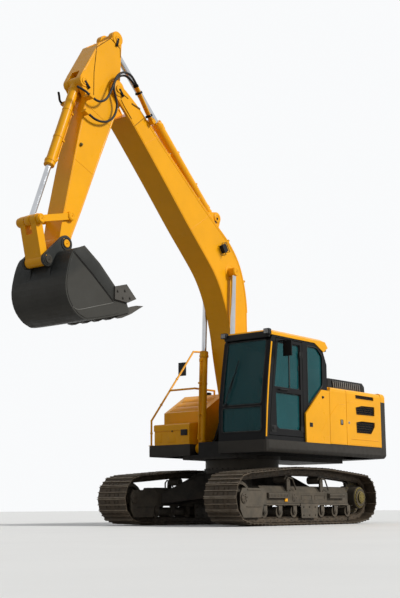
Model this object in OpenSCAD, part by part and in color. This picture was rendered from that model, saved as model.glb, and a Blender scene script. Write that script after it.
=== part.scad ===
// Crawler excavator, about twenty-one tonnes, standing with its boom high and its bucket curled.
// Millimetres. +X points to the front, +Y to the left (cab) side, +Z up.
// The origin is on the ground, on the axis about which the upper structure swings.

/* [Undercarriage] */
// Distance between the centre lines of the two tracks
gauge = 2200; // [2100:10:2400]
// Width of the track shoes
shoe_w = 600; // [500:50:600]
// Distance from idler axis to sprocket axis
wheelbase = 3370; // [3300:10:3500]
// Height of the idler axis
idler_z = 420; // [415:1:430]
// Height of the sprocket axis
sprocket_z = 440; // [430:1:450]
// Radius of the chain's seating line at idler and sprocket
turn_r = 361; // [355:1:365]
// Length of one track link
link_pitch = 190; // [180:1:200]
// Height of a link from roller path to shoe
link_h = 100; // [90:1:102]
// Width of one link rail
rail_w = 40; // [34:1:44]
// Distance of each link rail from the track's centre line
rail_y = 90; // [85:1:95]
// Thickness of a shoe plate
shoe_t = 12; // [10:1:16]
// Height of a grouser above the seating line
grouser_h = 34; // [28:1:36]
// Number of bottom rollers on each side
roller_count = 7; // [6:1:7]
// Distance from one bottom roller to the next
roller_step = 410; // [400:1:415]
// Radius of a bottom roller's tread
roller_r = 78; // [74:1:80]
// Radius of a bottom roller's flanges
flange_r = 92; // [88:1:94]
// Radius of a carrier roller
carrier_r = 65; // [60:1:70]
// Height of the carrier rollers' axis
carrier_z = 716; // [700:1:730]
// Half width of the track frame's box
frame_half = 150; // [145:1:155]
// Underside of the track frame
frame_z = 312; // [308:1:316]
// Height at which the track frame's sides end and its roof begins
frame_side_z = 510; // [490:1:520]
// Height of the track frame's ridge
frame_top_z = 610; // [590:1:630]
// Number of teeth on a sprocket
tooth_count = 21; // [19:2:23]

/* [Swing] */
// Height of the car body's top face
car_top = 900; // [880:10:920]
// Radius of the slewing ring
slew_r = 620; // [580:10:650]
// Underside of the upper structure
house_z = 1060; // [1050:5:1080]

/* [Upper structure] */
// Width of the upper structure
house_w = 2660; // [2600:10:2700]
// Underside of the side skirts
skirt_z = 1130; // [1120:5:1150]
// Top of the deck, on which cab and panels stand
deck_z = 1320; // [1300:5:1330]
// Front edge of the deck under the cab
cab_deck_x = 1150; // [1140:10:1180]
// Front edge of the deck on the right side
right_deck_x = 930; // [900:10:960]
// Where the side panels end and the counterweight begins
rear_x = -2440; // [-2480:10:-2400]
// Length of the counterweight's flat side
tail_side = 150; // [120:5:200]
// Top of the engine bay
bay_top = 2285; // [2250:5:2320]
// Thickness of a side panel or service door
panel_t = 40; // [30:1:45]
// Gap between neighbouring panels and doors
door_gap = 10; // [10:1:12]

/* [Cab] */
// Outer width of the cab
cab_w = 920; // [900:10:920]
// Distance of the cab's outer side from the swing axis
cab_side = 1300; // [1280:5:1310]
// Bottom of the cab
cab_z = 1320; // [1320:1:1330]
// Underside of the roof cap
roof_z = 2990; // [2950:10:3020]
// Thickness of the cab's walls and door
cab_wall = 60; // [50:1:70]
// Thickness of a window pane
pane_t = 8; // [6:1:10]
// Back of the cab
cab_back = -690; // [-700:5:-660]

/* [Boom and arm] */
// Place of the boom foot pin along the machine
foot_x = 100; // [80:5:120]
// Height of the boom foot pin
foot_z = 1800; // [1780:5:1820]
// Distance from boom foot pin to arm pin
boom_len = 5850; // [5800:10:5900]
// Angle of the boom's pin line above the horizontal, as it stands
boom_deg = 55.7; // [54:0.1:57]
// Width of the boom
boom_w = 440; // [420:10:450]
// Distance from arm pin to bucket pin
arm_len = 2850; // [2800:10:2900]
// Angle from the boom's pin line down to the arm's
arm_deg = 124; // [122:0.5:126]
// Width of the arm
arm_w = 340; // [330:5:350]
// Angle from the arm's pin line to the bucket's tooth line
bucket_deg = 82.2; // [80:0.1:84]

/* [Bucket] */
// Width of the bucket shell
bucket_w = 1100; // [1000:10:1200]
// Thickness of the bucket's shell
shell_t = 25; // [20:1:30]
// Number of teeth
bucket_teeth_count = 5; // [4:1:5]

/* [Cylinders] */
// Distance of each boom cylinder from the centre line
boom_cyl_y = 300; // [298:1:302]
// Outer radius of a boom cylinder
boom_cyl_r = 66; // [62:1:66]
// Outer radius of the arm cylinder
arm_cyl_r = 82; // [78:1:86]
// Outer radius of the bucket cylinder
bucket_cyl_r = 72; // [68:1:76]

/* [Hidden] */
$fn = 48;
// Clearance of a seat that slides or turns, of side faces at a pin, and of glass in its frame
slide_gap = 0.3;
pin_gap = 0.08;
side_gap = 6;
// Room round a door or a lid
door_room = 10;
// How far a hinge axis lies inside the edges of its door
hinge_in = 5;
glass_gap = 0.3;

// Helpers: turning a point [x, z] counter-clockwise, arcs, and the outline round two circles
function turned(p, a) = [p[0] * cos(a) - p[1] * sin(a), p[0] * sin(a) + p[1] * cos(a)];
function arc(c, r, a0, a1, n = 12) = [for (i = [0 : n]) c + r * [cos(a0 + (a1 - a0) * i / n),
                                                               sin(a0 + (a1 - a0) * i / n)]];
function capsule(a, ra, b, rb) =
    let (d = b - a, base = atan2(d[1], d[0]), lean = acos((ra - rb) / norm(d)))
    concat(arc(a, ra, base + lean, base + 360 - lean, 16), arc(b, rb, base - lean, base + lean, 16));
function smooth(p, n = 4) =
    let (m = len(p) - 1)
    concat([for (i = [0 : m - 1], j = [0 : n - 1])
        let (t = j / n, a = p[max(i - 1, 0)], b = p[i], c = p[i + 1], d = p[min(i + 2, m)])
        0.5 * (2 * b + (c - a) * t + (2 * a - 5 * b + 4 * c - d) * t * t
               + (3 * b - a - 3 * c + d) * t * t * t)], [p[m]]);
function reversed(p) = [for (i = [len(p) - 1 : -1 : 0]) p[i]];

// Outline in x and z, drawn through the machine from y0 to y1
module plate_xz(points, y0, y1) {
    translate([0, y1, 0])
        rotate([90, 0, 0])
            linear_extrude(y1 - y0) polygon(points);
}
// The same on side s, either 1 or -1, from distance y0 to y1
module side_xz(points, s, y0, y1) {
    plate_xz(points, min(s * y0, s * y1), max(s * y0, s * y1));
}
module plate_both(points, y0, y1) {
    for (s = [-1, 1])
        side_xz(points, s, y0, y1);
}
// Outline in y and z, drawn along the machine from x0 to x1
module bar_x(points, x0, x1) {
    translate([x0, 0, 0])
        rotate([90, 0, 90])
            linear_extrude(x1 - x0) polygon(points);
}
module round_y(r, y0, y1) {
    translate([0, y1, 0])
        rotate([90, 0, 0])
            cylinder(r = r, h = y1 - y0);
}
module round_side(r, s, y0, y1) {
    round_y(r, min(s * y0, s * y1), max(s * y0, s * y1));
}
module block(low, high) {
    translate(low) cube(high - low);
}
module at_xz(p, y = 0) {
    translate([p[0], y, p[1]]) children();
}
// Turns local +X so that it runs from a to b, both [x, z]
module from_to(a, b, y = 0) {
    translate([a[0], y, a[1]])
        rotate([0, -atan2(b[1] - a[1], b[0] - a[0]), 0])
            children();
}
// Round bar through points [x, y, z], with a slightly fuller bend at each point
module bent_bar(points, r) {
    for (i = [0 : len(points) - 2]) {
        d = points[i + 1] - points[i];
        translate(points[i])
            rotate([0, acos(d[2] / norm(d)), atan2(d[1], d[0])])
                cylinder(r = r, h = norm(d), $fn = 24);
    }
    for (i = [1 : len(points) - 2])
        translate(points[i]) sphere(r = r + 1.5, $fn = 24);
}

// Track: chain line as a belt round six rounds, counter-clockwise
half_base = wheelbase / 2;
roller_z = grouser_h + link_h + roller_r;
roller_x = [for (i = [0 : roller_count - 1]) 1100 - roller_step * i];
carrier_x = [450, -520];
belt_r = roller_r + link_h;
// Columns: x, z, radius of the seating line
rounds = [
    [roller_x[roller_count - 1], roller_z, belt_r],
    [roller_x[0], roller_z, belt_r],
    [half_base, idler_z, turn_r],
    [carrier_x[0], carrier_z, carrier_r + link_h],
    [carrier_x[1], carrier_z, carrier_r + link_h],
    [-half_base, sprocket_z, turn_r],
];
round_count = len(rounds);
function ahead(i) = rounds[(i + 1) % round_count];
function span(i) = norm([ahead(i)[0] - rounds[i][0], ahead(i)[1] - rounds[i][1]]);
function heading(i) = atan2(ahead(i)[1] - rounds[i][1], ahead(i)[0] - rounds[i][0])
                      + asin((rounds[i][2] - ahead(i)[2]) / span(i));
function heading_before(i) = heading((i + round_count - 1) % round_count);
function bend(i) = (heading(i) - heading_before(i) + 720) % 360;
function arc_len(i) = rounds[i][2] * bend(i) * PI / 180;
function run_len(i) = sqrt(pow(span(i), 2) - pow(rounds[i][2] - ahead(i)[2], 2));
function start_of(i) = i == 0 ? 0 : start_of(i - 1) + arc_len(i - 1) + run_len(i - 1);
starts = [for (i = [0 : round_count]) start_of(i)];
belt_len = starts[round_count];
function rim(i, dir) = [rounds[i][0] + rounds[i][2] * sin(dir), rounds[i][1] - rounds[i][2] * cos(dir)];
function on_belt(s) =
    let (i = max([for (k = [0 : round_count - 1]) if (starts[k] <= s) k]), t = s - starts[i])
    t < arc_len(i)
        ? rim(i, heading_before(i) + t / rounds[i][2] * 180 / PI)
        : rim(i, heading(i)) + (t - arc_len(i)) * [cos(heading(i)), sin(heading(i))];
shoe_count = round(belt_len / link_pitch);
joints = [for (k = [0 : shoe_count - 1]) on_belt(k * belt_len / shoe_count)];
function joint_at(k) = joints[(k + shoe_count) % shoe_count];
function along(k) = (joint_at(k + 1) - joint_at(k)) / norm(joint_at(k + 1) - joint_at(k));
function outward(k) = [along(k)[1], -along(k)[0]];
function corner(k) = let (d = outward(k) + outward(k - 1 + shoe_count)) d / norm(d);
// Shoe outline: share of the link's length, height above the seating line
shoe_outline = [[0.03, 0], [0.03, grouser_h - 2], [0.12, shoe_t], [0.45, shoe_t], [0.47, grouser_h],
                [0.53, grouser_h], [0.55, shoe_t], [0.88, shoe_t], [0.97, grouser_h - 2], [0.97, 0]];
// Largest radius that a wheel at c may have without entering the link rails
rail_path = [for (k = [0 : shoe_count - 1]) joint_at(k) - link_h * corner(k)];
function seg_gap(c, a, b) = let (d = b - a, t = max(0,
                                                    min(1, (c - a) * d / (d * d)))) norm(c - a - t * d);
function fit_r(c) =
    min([for (k = [0 : shoe_count - 1]) seg_gap(c, rail_path[k],
                                                rail_path[(k + 1) % shoe_count])]) - slide_gap;
rail_inner = rail_y - rail_w / 2;
rail_outer = rail_y + rail_w / 2;

module track() {
    for (k = [0 : shoe_count - 1])
        plate_xz([for (p = shoe_outline) joint_at(k) + p[0] * (joint_at(k + 1) - joint_at(k))
                  + p[1] * outward(k)], -shoe_w / 2, shoe_w / 2);
    for (s = [-1, 1])
        translate([0, s * rail_y + rail_w / 2, 0])
            rotate([90, 0, 0])
                linear_extrude(rail_w)
                    difference() {
                        polygon([for (k = [0 : shoe_count - 1]) joint_at(k) + shoe_t / 3 * corner(k)]);
                        polygon(rail_path);
                    }
}
module track_left() {
    color("dimgray") translate([0, gauge / 2, 0]) track();
}
module track_right() {
    color("dimgray") translate([0, -gauge / 2, 0]) track();
}

tread_r = fit_r([half_base, idler_z]);
axle_half = frame_half;
module idlers() {
    color("dimgray")
        for (s = [-1, 1])
            translate([half_base, s * gauge / 2, idler_z])
                difference() {
                    union() {
                        round_y(tread_r, -rail_outer, rail_outer);
                        round_y(tread_r + 28, -rail_inner + 8, rail_inner - 8);
                        round_y(60, -axle_half, axle_half);
                    }
                    for (t = [-1, 1])
                        difference() {
                            round_y(tread_r - 45, min(t * 40, t * 200), max(t * 40, t * 200));
                            round_y(95, -250, 250);
                        }
                }
}

tooth_tip_r = turn_r - 48;
tooth_root_r = turn_r - 88;
// Columns: share of a tooth's pitch, radius
tooth_form = [[-0.5, tooth_root_r], [-0.26, tooth_root_r], [-0.12, tooth_tip_r], [0.12, tooth_tip_r],
              [0.26, tooth_root_r]];
function sprocket_outline() = [for (i = [0 : tooth_count - 1], c = tooth_form)
    c[1] * [cos((i + c[0]) * 360 / tooth_count), sin((i + c[0]) * 360 / tooth_count)]];
hub_out = 220;
tooth_t = 48;
cheek_y = 130;
// Columns: radius, from and to, outwards from the track's centre line
hub_steps = [[185, -60, 170], [150, 100, 200], [95, 100, hub_out], [160, -cheek_y, -40],
             [120, -330, -40]];
module final_drives() {
    color("dimgray")
        for (s = [-1, 1])
            translate([-half_base, s * gauge / 2, sprocket_z]) {
                plate_xz(sprocket_outline(), -tooth_t / 2, tooth_t / 2);
                for (c = hub_steps)
                    round_side(c[0], s, c[1], c[2]);
            }
}

collar_w = 18;
module bottom_rollers() {
    color("dimgray")
        for (s = [-1, 1], x = roller_x)
            translate([x, s * gauge / 2, roller_z]) {
                round_y(fit_r([x, roller_z]), -rail_outer, rail_outer);
                for (t = [-1, 1])
                    translate([0, t * (rail_outer + 7), 0]) round_y(flange_r, -6, 6);
                round_y(36, -frame_half, frame_half);
                for (t = [-1, 1])
                    plate_xz([[-48, frame_z - roller_z], [-48, 0], [-30, -40], [30, -40], [48, 0],
                              [48, frame_z - roller_z]], t * (frame_half - collar_w / 2) - collar_w / 2,
                             t * (frame_half - collar_w / 2) + collar_w / 2);
            }
}
module carrier_rollers() {
    color("dimgray")
        for (s = [-1, 1], x = carrier_x)
            translate([x, s * gauge / 2, carrier_z]) {
                round_y(fit_r([x, carrier_z]), -rail_outer, rail_outer);
                round_y(30, min(0, s * (rail_outer + 12)), max(0, s * (rail_outer + 12)));
            }
}

roof_half = 75;
yoke_x = 1180;
rear_end = -1330;
frame_section = [[-frame_half - 15, frame_z], [frame_half + 15, frame_z],
                 [frame_half + 15, frame_z + 25],
                 [frame_half, frame_z + 25], [frame_half, frame_side_z], [roof_half, frame_top_z],
                 [-roof_half, frame_top_z], [-frame_half, frame_side_z], [-frame_half, frame_z + 25],
                 [-frame_half - 15, frame_z + 25]];
// Guard cheek beside the idler, in x and z
yoke_outline = [[yoke_x - 80, frame_z + 8], [yoke_x, frame_z + 8], [yoke_x + 60, 130],
                [half_base + 20, 130],
                [half_base + 95, 260], [half_base + 95, 480], [half_base + 40, 570], [yoke_x, 570],
                [yoke_x - 80, 500]];
// Side cheek that carries the final drive
rear_outline = concat([[roller_x[roller_count - 1] - 60, frame_z + 8], [rear_end + 60, frame_z + 8],
                       [rear_end + 60, frame_side_z - 25]],
                           arc([-half_base, sprocket_z], 200, 70, 290, 20));
module track_frame(s) {
    bar_x(frame_section, rear_end, yoke_x);
    for (t = [-1, 1])
        side_xz(yoke_outline, t, frame_half, frame_half + 25);
    side_xz(rear_outline, -s, cheek_y, frame_half + 10);
    for (x = carrier_x)
        translate([x, 0, 0])
            side_xz([[-60, frame_side_z - 10], [60, frame_side_z - 10], [42, carrier_z],
                     [0, carrier_z + 44],
                     [-42, carrier_z]], s, rail_outer + 12, frame_half - 5);
    for (t = [-1, 1])
        side_xz([[-330, 110], [130, 110], [150, frame_z], [150, frame_z + 25], [-350, frame_z + 25],
                 [-350, frame_z]], t, frame_half + 15, frame_half + 27);
    for (x = [[550, 1070], [-1170, -690]])
        bar_x([[s * frame_half, 425], [s * (frame_half + 52), 425], [s * (frame_half + 52), 495],
               [s * frame_half, 505]], x[0], x[1]);
}
module track_frames() {
    color("dimgray")
        for (s = [-1, 1])
            difference() {
                translate([0, s * gauge / 2, 0]) track_frame(s);
                translate([-half_base, s * gauge / 2, sprocket_z])
                    round_y(120, min(-s * 20, -s * 400), max(-s * 20, -s * 400));
            }
}

body_half = 520;
leg_in = gauge / 2 - frame_half;
module leg(sx, sy) {
    hull() {
        block([min(sx * 150, sx * body_half), min(sy * 380, sy * 560), 440],
              [max(sx * 150, sx * body_half), max(sy * 380, sy * 560), 840]);
        block([min(sx * 560, sx * 1000), min(sy * (leg_in - 10), sy * leg_in), 350],
              [max(sx * 560, sx * 1000), max(sy * (leg_in - 10), sy * leg_in), 505]);
    }
}
module car_body() {
    color("dimgray") {
        block([-body_half, -560, 430], [body_half, 560, 860]);
        for (sx = [-1, 1], sy = [-1, 1])
            leg(sx, sy);
        translate([0, 0, 840]) cylinder(r = slew_r + 20, h = car_top - 840);
    }
}
module slew_ring() {
    color("gray")
        translate([0, 0, car_top])
            cylinder(r = slew_r, h = house_z - car_top - slide_gap);
}

// Upper structure
house_half = house_w / 2;
slot_half = 385;
beam_y = [boom_w / 2 + side_gap, boom_w / 2 + side_gap + 45];
cyl_foot = [720, 1250];
foot = [foot_x, foot_z];
cab_inner = cab_side - cab_w;
foot_pin_r = 50;
cyl_pin_r = 45;
boom_eye_w = 2 * boom_cyl_r + 4;
rod_eye_w = 100;
cyl_pin_out = boom_cyl_y + boom_eye_w / 2 + 4;
// Deck outline seen from above: left cab side, boom slot and right side
module deck_plan() {
    polygon([[rear_x, -house_half], [right_deck_x - 60, -house_half], [right_deck_x, -house_half + 60],
             [right_deck_x, -slot_half], [600, -slot_half], [600, cab_inner], [cab_deck_x, cab_inner],
             [cab_deck_x, house_half - 60], [cab_deck_x - 20, house_half - 20],
                 [cab_deck_x - 60, house_half],
             [rear_x, house_half]]);
}
// Rounded lower edge of skirt and counterweight: columns are distance inwards and height above the edge
lower_edge = [[38, 0], [26, 10], [12, 28], [3, 48], [0, 66]];
module skirt_cut(s) {
    bar_x(concat([[s * (house_half + 1), skirt_z - 1],
                  [s * (house_half - lower_edge[0][0]), skirt_z - 1]],
                 [for (e = lower_edge) [s * (house_half - e[0]), skirt_z + e[1]]],
                 [[s * (house_half + 1), skirt_z + lower_edge[4][1]]]), rear_x - 1, cab_deck_x + 1);
}
module main_frame() {
    color("dimgray")
        difference() {
            union() {
                translate([0, 0, skirt_z])
                    linear_extrude(deck_z - skirt_z) deck_plan();
                block([rear_x + 100, -560, house_z], [900, 560, skirt_z + 5]);
                translate([0, 0, house_z]) cylinder(r = slew_r + 30, h = 60);
                for (s = [-1, 1])
                    side_xz([[-700, 1300], [-460, 1700], [foot_x - 120, foot_z + 60],
                             [foot_x - 60, foot_z + 120],
                             [foot_x + 60, foot_z + 120], [foot_x + 125, foot_z + 40], [420, 1420],
                                 [560, 1300]],
                            s, beam_y[0], beam_y[1]);
                block([580, -boom_cyl_y + boom_eye_w / 2 + side_gap, house_z],
                      [900, boom_cyl_y - boom_eye_w / 2 - side_gap, 1340]);
                at_xz(foot) round_y(foot_pin_r, -beam_y[0], beam_y[0]);
                at_xz(cyl_foot) round_y(cyl_pin_r, -cyl_pin_out, cyl_pin_out);
            }
            // Pocket under the deck, inside the skirts
            translate([0, 0, skirt_z - 1])
                linear_extrude(120)
                    polygon([[rear_x + 60, 620], [rear_x + 60, house_half - 50],
                             [cab_deck_x - 150, house_half - 50],
                             [cab_deck_x - 60, house_half - 150], [cab_deck_x - 60, 620]]);
            translate([0, 0, skirt_z - 1])
                linear_extrude(120)
                    polygon([[rear_x + 60, -620], [rear_x + 60, -house_half + 50],
                             [right_deck_x - 60, -house_half + 50], [right_deck_x - 60, -620]]);
            for (s = [-1, 1])
                skirt_cut(s);
        }
}

// Radius that the tail sweeps
tail_r = norm([rear_x - tail_side, house_half]);
// Top of the counterweight, where the yellow cap begins
cap_z = bay_top - 145;
cap_rise = 15;
module counterweight() {
    color("dimgray")
        intersection() {
            rotate_extrude()
                polygon(concat([[0, skirt_z]], [for (e = lower_edge) [tail_r - e[0], skirt_z + e[1]]],
                               [[tail_r, cap_z], [0, cap_z]]));
            bar_x(concat([for (e = lower_edge) [house_half - e[0], skirt_z + e[1]]],
                         [[house_half, cap_z + 1], [-house_half, cap_z + 1]],
                         [for (e = reversed(lower_edge)) [e[0] - house_half, skirt_z + e[1]]]),
                  -tail_r - 10, rear_x);
        }
}
// Cap with its upper edge rounded like the doors' shoulders.
// Columns: distance inwards and height below the top
upper_edge = [[0, 70], [8, 35], [28, 10], [50, 0]];
module tail_cap() {
    intersection() {
        rotate_extrude()
            polygon(concat([[0, cap_z], [tail_r, cap_z]],
                           [for (e = upper_edge) [tail_r - e[0], bay_top + cap_rise - e[1]]],
                           [[0, bay_top + cap_rise]]));
        bar_x(concat([[-house_half, cap_z - 1], [house_half, cap_z - 1]],
                     [for (e = upper_edge) [house_half - e[0], bay_top + cap_rise - e[1]]],
                     [for (e = reversed(upper_edge)) [e[0] - house_half, bay_top + cap_rise - e[1]]]),
              -tail_r - 10, rear_x);
    }
}

roof_front = 950;
roof_h = 90;
beacon = [-500, 840];
beacon_r = 65;
// Upper edge of the windows
window_top = roof_z - 70;
split_z = 1860;
split_h = 15;
// The cab's slightly bowed front, from below upwards
front_line = [[1140, cab_z], [1128, split_z], [1066, 2300], [960, roof_z - 90]];
cab_outline = concat(front_line, [[905, roof_z], [-480, roof_z], [-592, roof_z - 140],
                                  [cab_back, roof_z - 335],
                                  [cab_back, cab_z]]);
front_wall = cab_wall + 5;
cab_hollow = [[1140 - front_wall, cab_z + cab_wall], [1128 - front_wall, split_z],
              [1066 - front_wall, 2300],
              [960 - front_wall, roof_z - 90], [920 - front_wall, roof_z - cab_wall],
                  [-450, roof_z - cab_wall],
              [-540, roof_z - 165], [cab_back + cab_wall, roof_z - 350],
                  [cab_back + cab_wall, cab_z + cab_wall]];
// Door, its two windows, rear side window and right side window, in x and z
door_rear = 50;
door_top = roof_z - 30;
door_low = cab_z + 70;
function inset_door(d) = [[door_rear + d, door_low + d], [1035 - d, door_low + d], [978 - d, 1823],
                          [918 - d, 2275],
                          [818 - d, door_top - d], [door_rear + d, door_top - d]];
upper_pane = [[door_rear + 75, 2165], [872, 2165], [850, 2275], [752, door_top - 60],
              [door_rear + 75, door_top - 60]];
lower_pane = [[door_rear + 75, door_low + 110], [760, door_low + 110], [818, door_low + 160],
              [835, 2085],
              [door_rear + 75, 2085]];
rear_window = [[-88, 1915], [-88, window_top], [-390, window_top], [-556, window_top - 130],
               [-552, 2290]];
right_window = [[1035, 1500], [1035, split_z], [975, 2300], [850, window_top - 30],
                [-390, window_top - 30],
                [-550, window_top - 150], [-550, 2330], [-420, 2290], [120, 1850], [120, 1500]];
windscreen_low = 1450;
cab_far = cab_inner + cab_wall;
cab_near = cab_side - cab_wall;
// Reveal beside the windscreen, and beside the rear window
screen_side = 15;
back_side = 40;
back_window = [2330, roof_z - 370];
module cab_shell() {
    color("dimgray")
        difference() {
            plate_xz(cab_outline, cab_inner, cab_side);
            plate_xz(cab_hollow, cab_far, cab_near);
            plate_xz(inset_door(0), cab_near - 1, cab_side + 1);
            plate_xz(rear_window, cab_near - 1, cab_side + 1);
            plate_xz(right_window, cab_inner - 1, cab_far + 1);
            // Windscreen in two panes, and rear window
            block([700, cab_far + screen_side, windscreen_low],
                  [1300, cab_near - screen_side, split_z - split_h]);
            block([700, cab_far + screen_side, split_z + split_h],
                  [1300, cab_near - screen_side, window_top]);
            block([-800, cab_far + back_side, back_window[0]],
                  [-600, cab_near - back_side, back_window[1]]);
        }
}
// The windscreen lies a little inside the bowed front
glass_in = 25;
function front_x(z) = lookup(z, [for (p = front_line) [p[1], p[0]]]) - glass_in;
function screen(zs) = concat([for (z = zs) [front_x(z), z]],
                             [for (z = reversed(zs)) [front_x(z) + pane_t, z]]);
module cab_glass() {
    color("lightblue") {
        for (zs = [[windscreen_low + glass_gap, split_z - split_h - glass_gap],
                   [split_z + split_h + glass_gap, 2300, window_top - glass_gap]])
            plate_xz(screen(zs), cab_far + screen_side + glass_gap, cab_near - screen_side - glass_gap);
        plate_xz(shrunk(rear_window), cab_side - 30, cab_side - 30 + pane_t);
        plate_xz(shrunk(right_window), cab_inner + 22, cab_inner + 22 + pane_t);
        block([cab_back + 20, cab_far + back_side + glass_gap, back_window[0] + glass_gap],
              [cab_back + 20 + pane_t, cab_near - back_side - glass_gap, back_window[1] - glass_gap]);
    }
}
// Outline drawn in towards its middle, by the clearance of the glass
function middle(p) = [for (k = [0, 1]) (max([for (q = p) q[k]]) + min([for (q = p) q[k]])) / 2];
function shrunk(p) = let (m = middle(p)) [for (q = p) m + (q - m) * (1 - glass_gap / 300)];
// Side view of the roof cap, which wraps down behind the cab
roof_over = 15;
roof_profile = [[roof_front, roof_z], [roof_front, roof_z + 60], [roof_front - 40, roof_z + roof_h],
                [-575, roof_z + roof_h], [-640, roof_z + 40], [-720, roof_z - 45], [-585, roof_z - 130],
                [-310, roof_z]];
module cab_roof() {
    color("gold")
        difference() {
            intersection() {
                bar_x([[cab_inner + 20, roof_z - 150], [cab_side + roof_over, roof_z - 150],
                       [cab_side + roof_over, roof_z + 45], [cab_side - 60, roof_z + roof_h],
                       [cab_inner + 80, roof_z + roof_h], [cab_inner + 20, roof_z + 45]], -730,
                           roof_front);
                plate_xz(roof_profile, cab_inner, cab_side + 50);
            }
            plate_xz(cab_outline, cab_inner, cab_side);
            // Threaded holes for a beacon
            for (k = [0 : 2])
                translate([beacon[0] + beacon_r * cos(120 * k), beacon[1] + beacon_r * sin(120 * k),
                           roof_z + roof_h - 30])
                    cylinder(r = 4.5, h = 40);
        }
}

module seat() {
    color("dimgray") {
        block([-250, 650, cab_z + 60], [250, 980, cab_z + 260]);
        block([-250, 610, cab_z + 260], [260, 1030, cab_z + 400]);
        plate_xz([[-250, cab_z + 400], [-120, cab_z + 400], [-220, cab_z + 1100], [-330, cab_z + 1100]],
                 610, 1030);
    }
}
module console() {
    color("dimgray") {
        for (y = [[cab_far + 20, cab_far + 130], [1060, 1170]])
            plate_xz([[-250, cab_z + 60], [150, cab_z + 60], [380, cab_z + 480], [380, cab_z + 560],
                      [-250, cab_z + 560]], y[0], y[1]);
        for (y = [cab_far + 75, 1115])
            translate([320, y, cab_z + 560]) cylinder(r = 18, h = 160);
        for (y = [720, 900])
            translate([800, y, cab_z + 60]) cylinder(r = 14, h = 560);
    }
}

// Side panels and service doors; section in y and z with a rounded shoulder
side_in = house_half - panel_t;
lip = 60;
function shoulder(low) = [[side_in, low], [house_half, low], [house_half, bay_top - 70],
                          [house_half - 8, bay_top - 35],
    [house_half - 28, bay_top - 10], [house_half - 50, bay_top], [house_half - lip, bay_top],
    [house_half - lip, bay_top - 30], [side_in, bay_top - 60]];
front_panel_x = [-710, 25];
// Top of the front panel, from which the next door's corner rises
notch_z = bay_top - 72;
left_door_x = [-1250, -710];
rear_door_x = [rear_x, -1250];
module panel(x0, x1) {
    bar_x(shoulder(deck_z), x0 + door_gap / 2, x1 - door_gap / 2);
}
// Door of the same section, on a short pin at hinge_x that stands on the deck
module swing_door(x0, x1, hinge_x) {
    bar_x(shoulder(deck_z + side_gap), x0 + door_gap / 2, x1 - door_gap / 2);
    translate([hinge_x, house_half - hinge_in, deck_z + slide_gap])
        cylinder(r = hinge_in, h = 40);
}
module side_panels() {
    color("gold") {
        plate_xz([[front_panel_x[0] + door_gap / 2, deck_z], [20, deck_z], [28, 1785], [-465, notch_z],
                  [front_panel_x[0] + door_gap / 2, notch_z]], cab_side + 3, house_half);
        mirror([0, 1, 0]) panel(left_door_x[0], -720);
    }
}
module left_door() {
    color("gold")
        difference() {
            swing_door(left_door_x[0], left_door_x[1], left_door_x[1] - door_gap / 2 - hinge_in);
            plate_xz([[left_door_x[1] - 10, notch_z], [left_door_x[1] + 10, notch_z],
                      [left_door_x[1] + 10, bay_top + 5],
                      [left_door_x[1] - 85, bay_top + 5]], cab_side - 60, house_half + 10);
        }
}
// Openings of the grilles, each with its slats
grille_x = [rear_x + 230, rear_door_x[1] - 300];
grilles = [
    [[grille_x[0], 1677], [grille_x[0] + 130, 1543], [grille_x[1] - 20, 1543], [grille_x[1] - 10, 1735],
     [grille_x[1] - 200, 1762], [grille_x[0], 1762]],
    [[grille_x[0], 1868], [grille_x[1] - 25, 1860], [grille_x[1], 1992], [grille_x[1] - 220, 2034],
     [grille_x[0], 2040]],
    [[grille_x[0] + 15, bay_top - 145], [grille_x[1] - 12, bay_top - 145], [grille_x[1], bay_top - 72],
     [grille_x[0] + 30, bay_top - 72]],
];
slat_count = 4;
slat_half = 4;
module grille_door() {
    difference() {
        swing_door(rear_door_x[0], rear_door_x[1], rear_door_x[0] + door_gap / 2 + hinge_in);
        for (g = grilles)
            plate_xz(g, side_in - 90, house_half + 70);
    }
    for (g = grilles, k = [1 : slat_count]) {
        low = min([for (q = g) q[1]]);
        high = max([for (q = g) q[1]]);
        z = low + (high - low) * k / (slat_count + 1);
        block([grille_x[0] - 2, side_in + 8, z - slat_half],
              [grille_x[1] + 2, side_in + 22, z + slat_half]);
    }
}
module rear_left_door() {
    color("gold") grille_door();
}
module right_door() {
    color("gold") mirror([0, 1, 0]) grille_door();
}
// Deck over the engine bay, with the hood's opening, and the bulkhead behind the cab
hood_x = [rear_x + 150, -1150];
hood_y = [-1000, 330];
deck_t = 40;
deck_half = house_half - lip - side_gap;
module top_deck() {
    color("gold") {
        tail_cap();
        difference() {
            block([rear_x - 20, -deck_half, bay_top - deck_t], [-720, deck_half, bay_top]);
            block([hood_x[0] + 40, hood_y[0] + 40, bay_top - 100],
                  [hood_x[1] - 40, hood_y[1] - 40, bay_top + 50]);
        }
        block([-760, -1200, deck_z], [-720, deck_half, bay_top - deck_t]);
        block([-1270, deck_half - 140, deck_z], [-1230, deck_half, bay_top - deck_t]);
    }
}
hood_h = 110;
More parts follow.
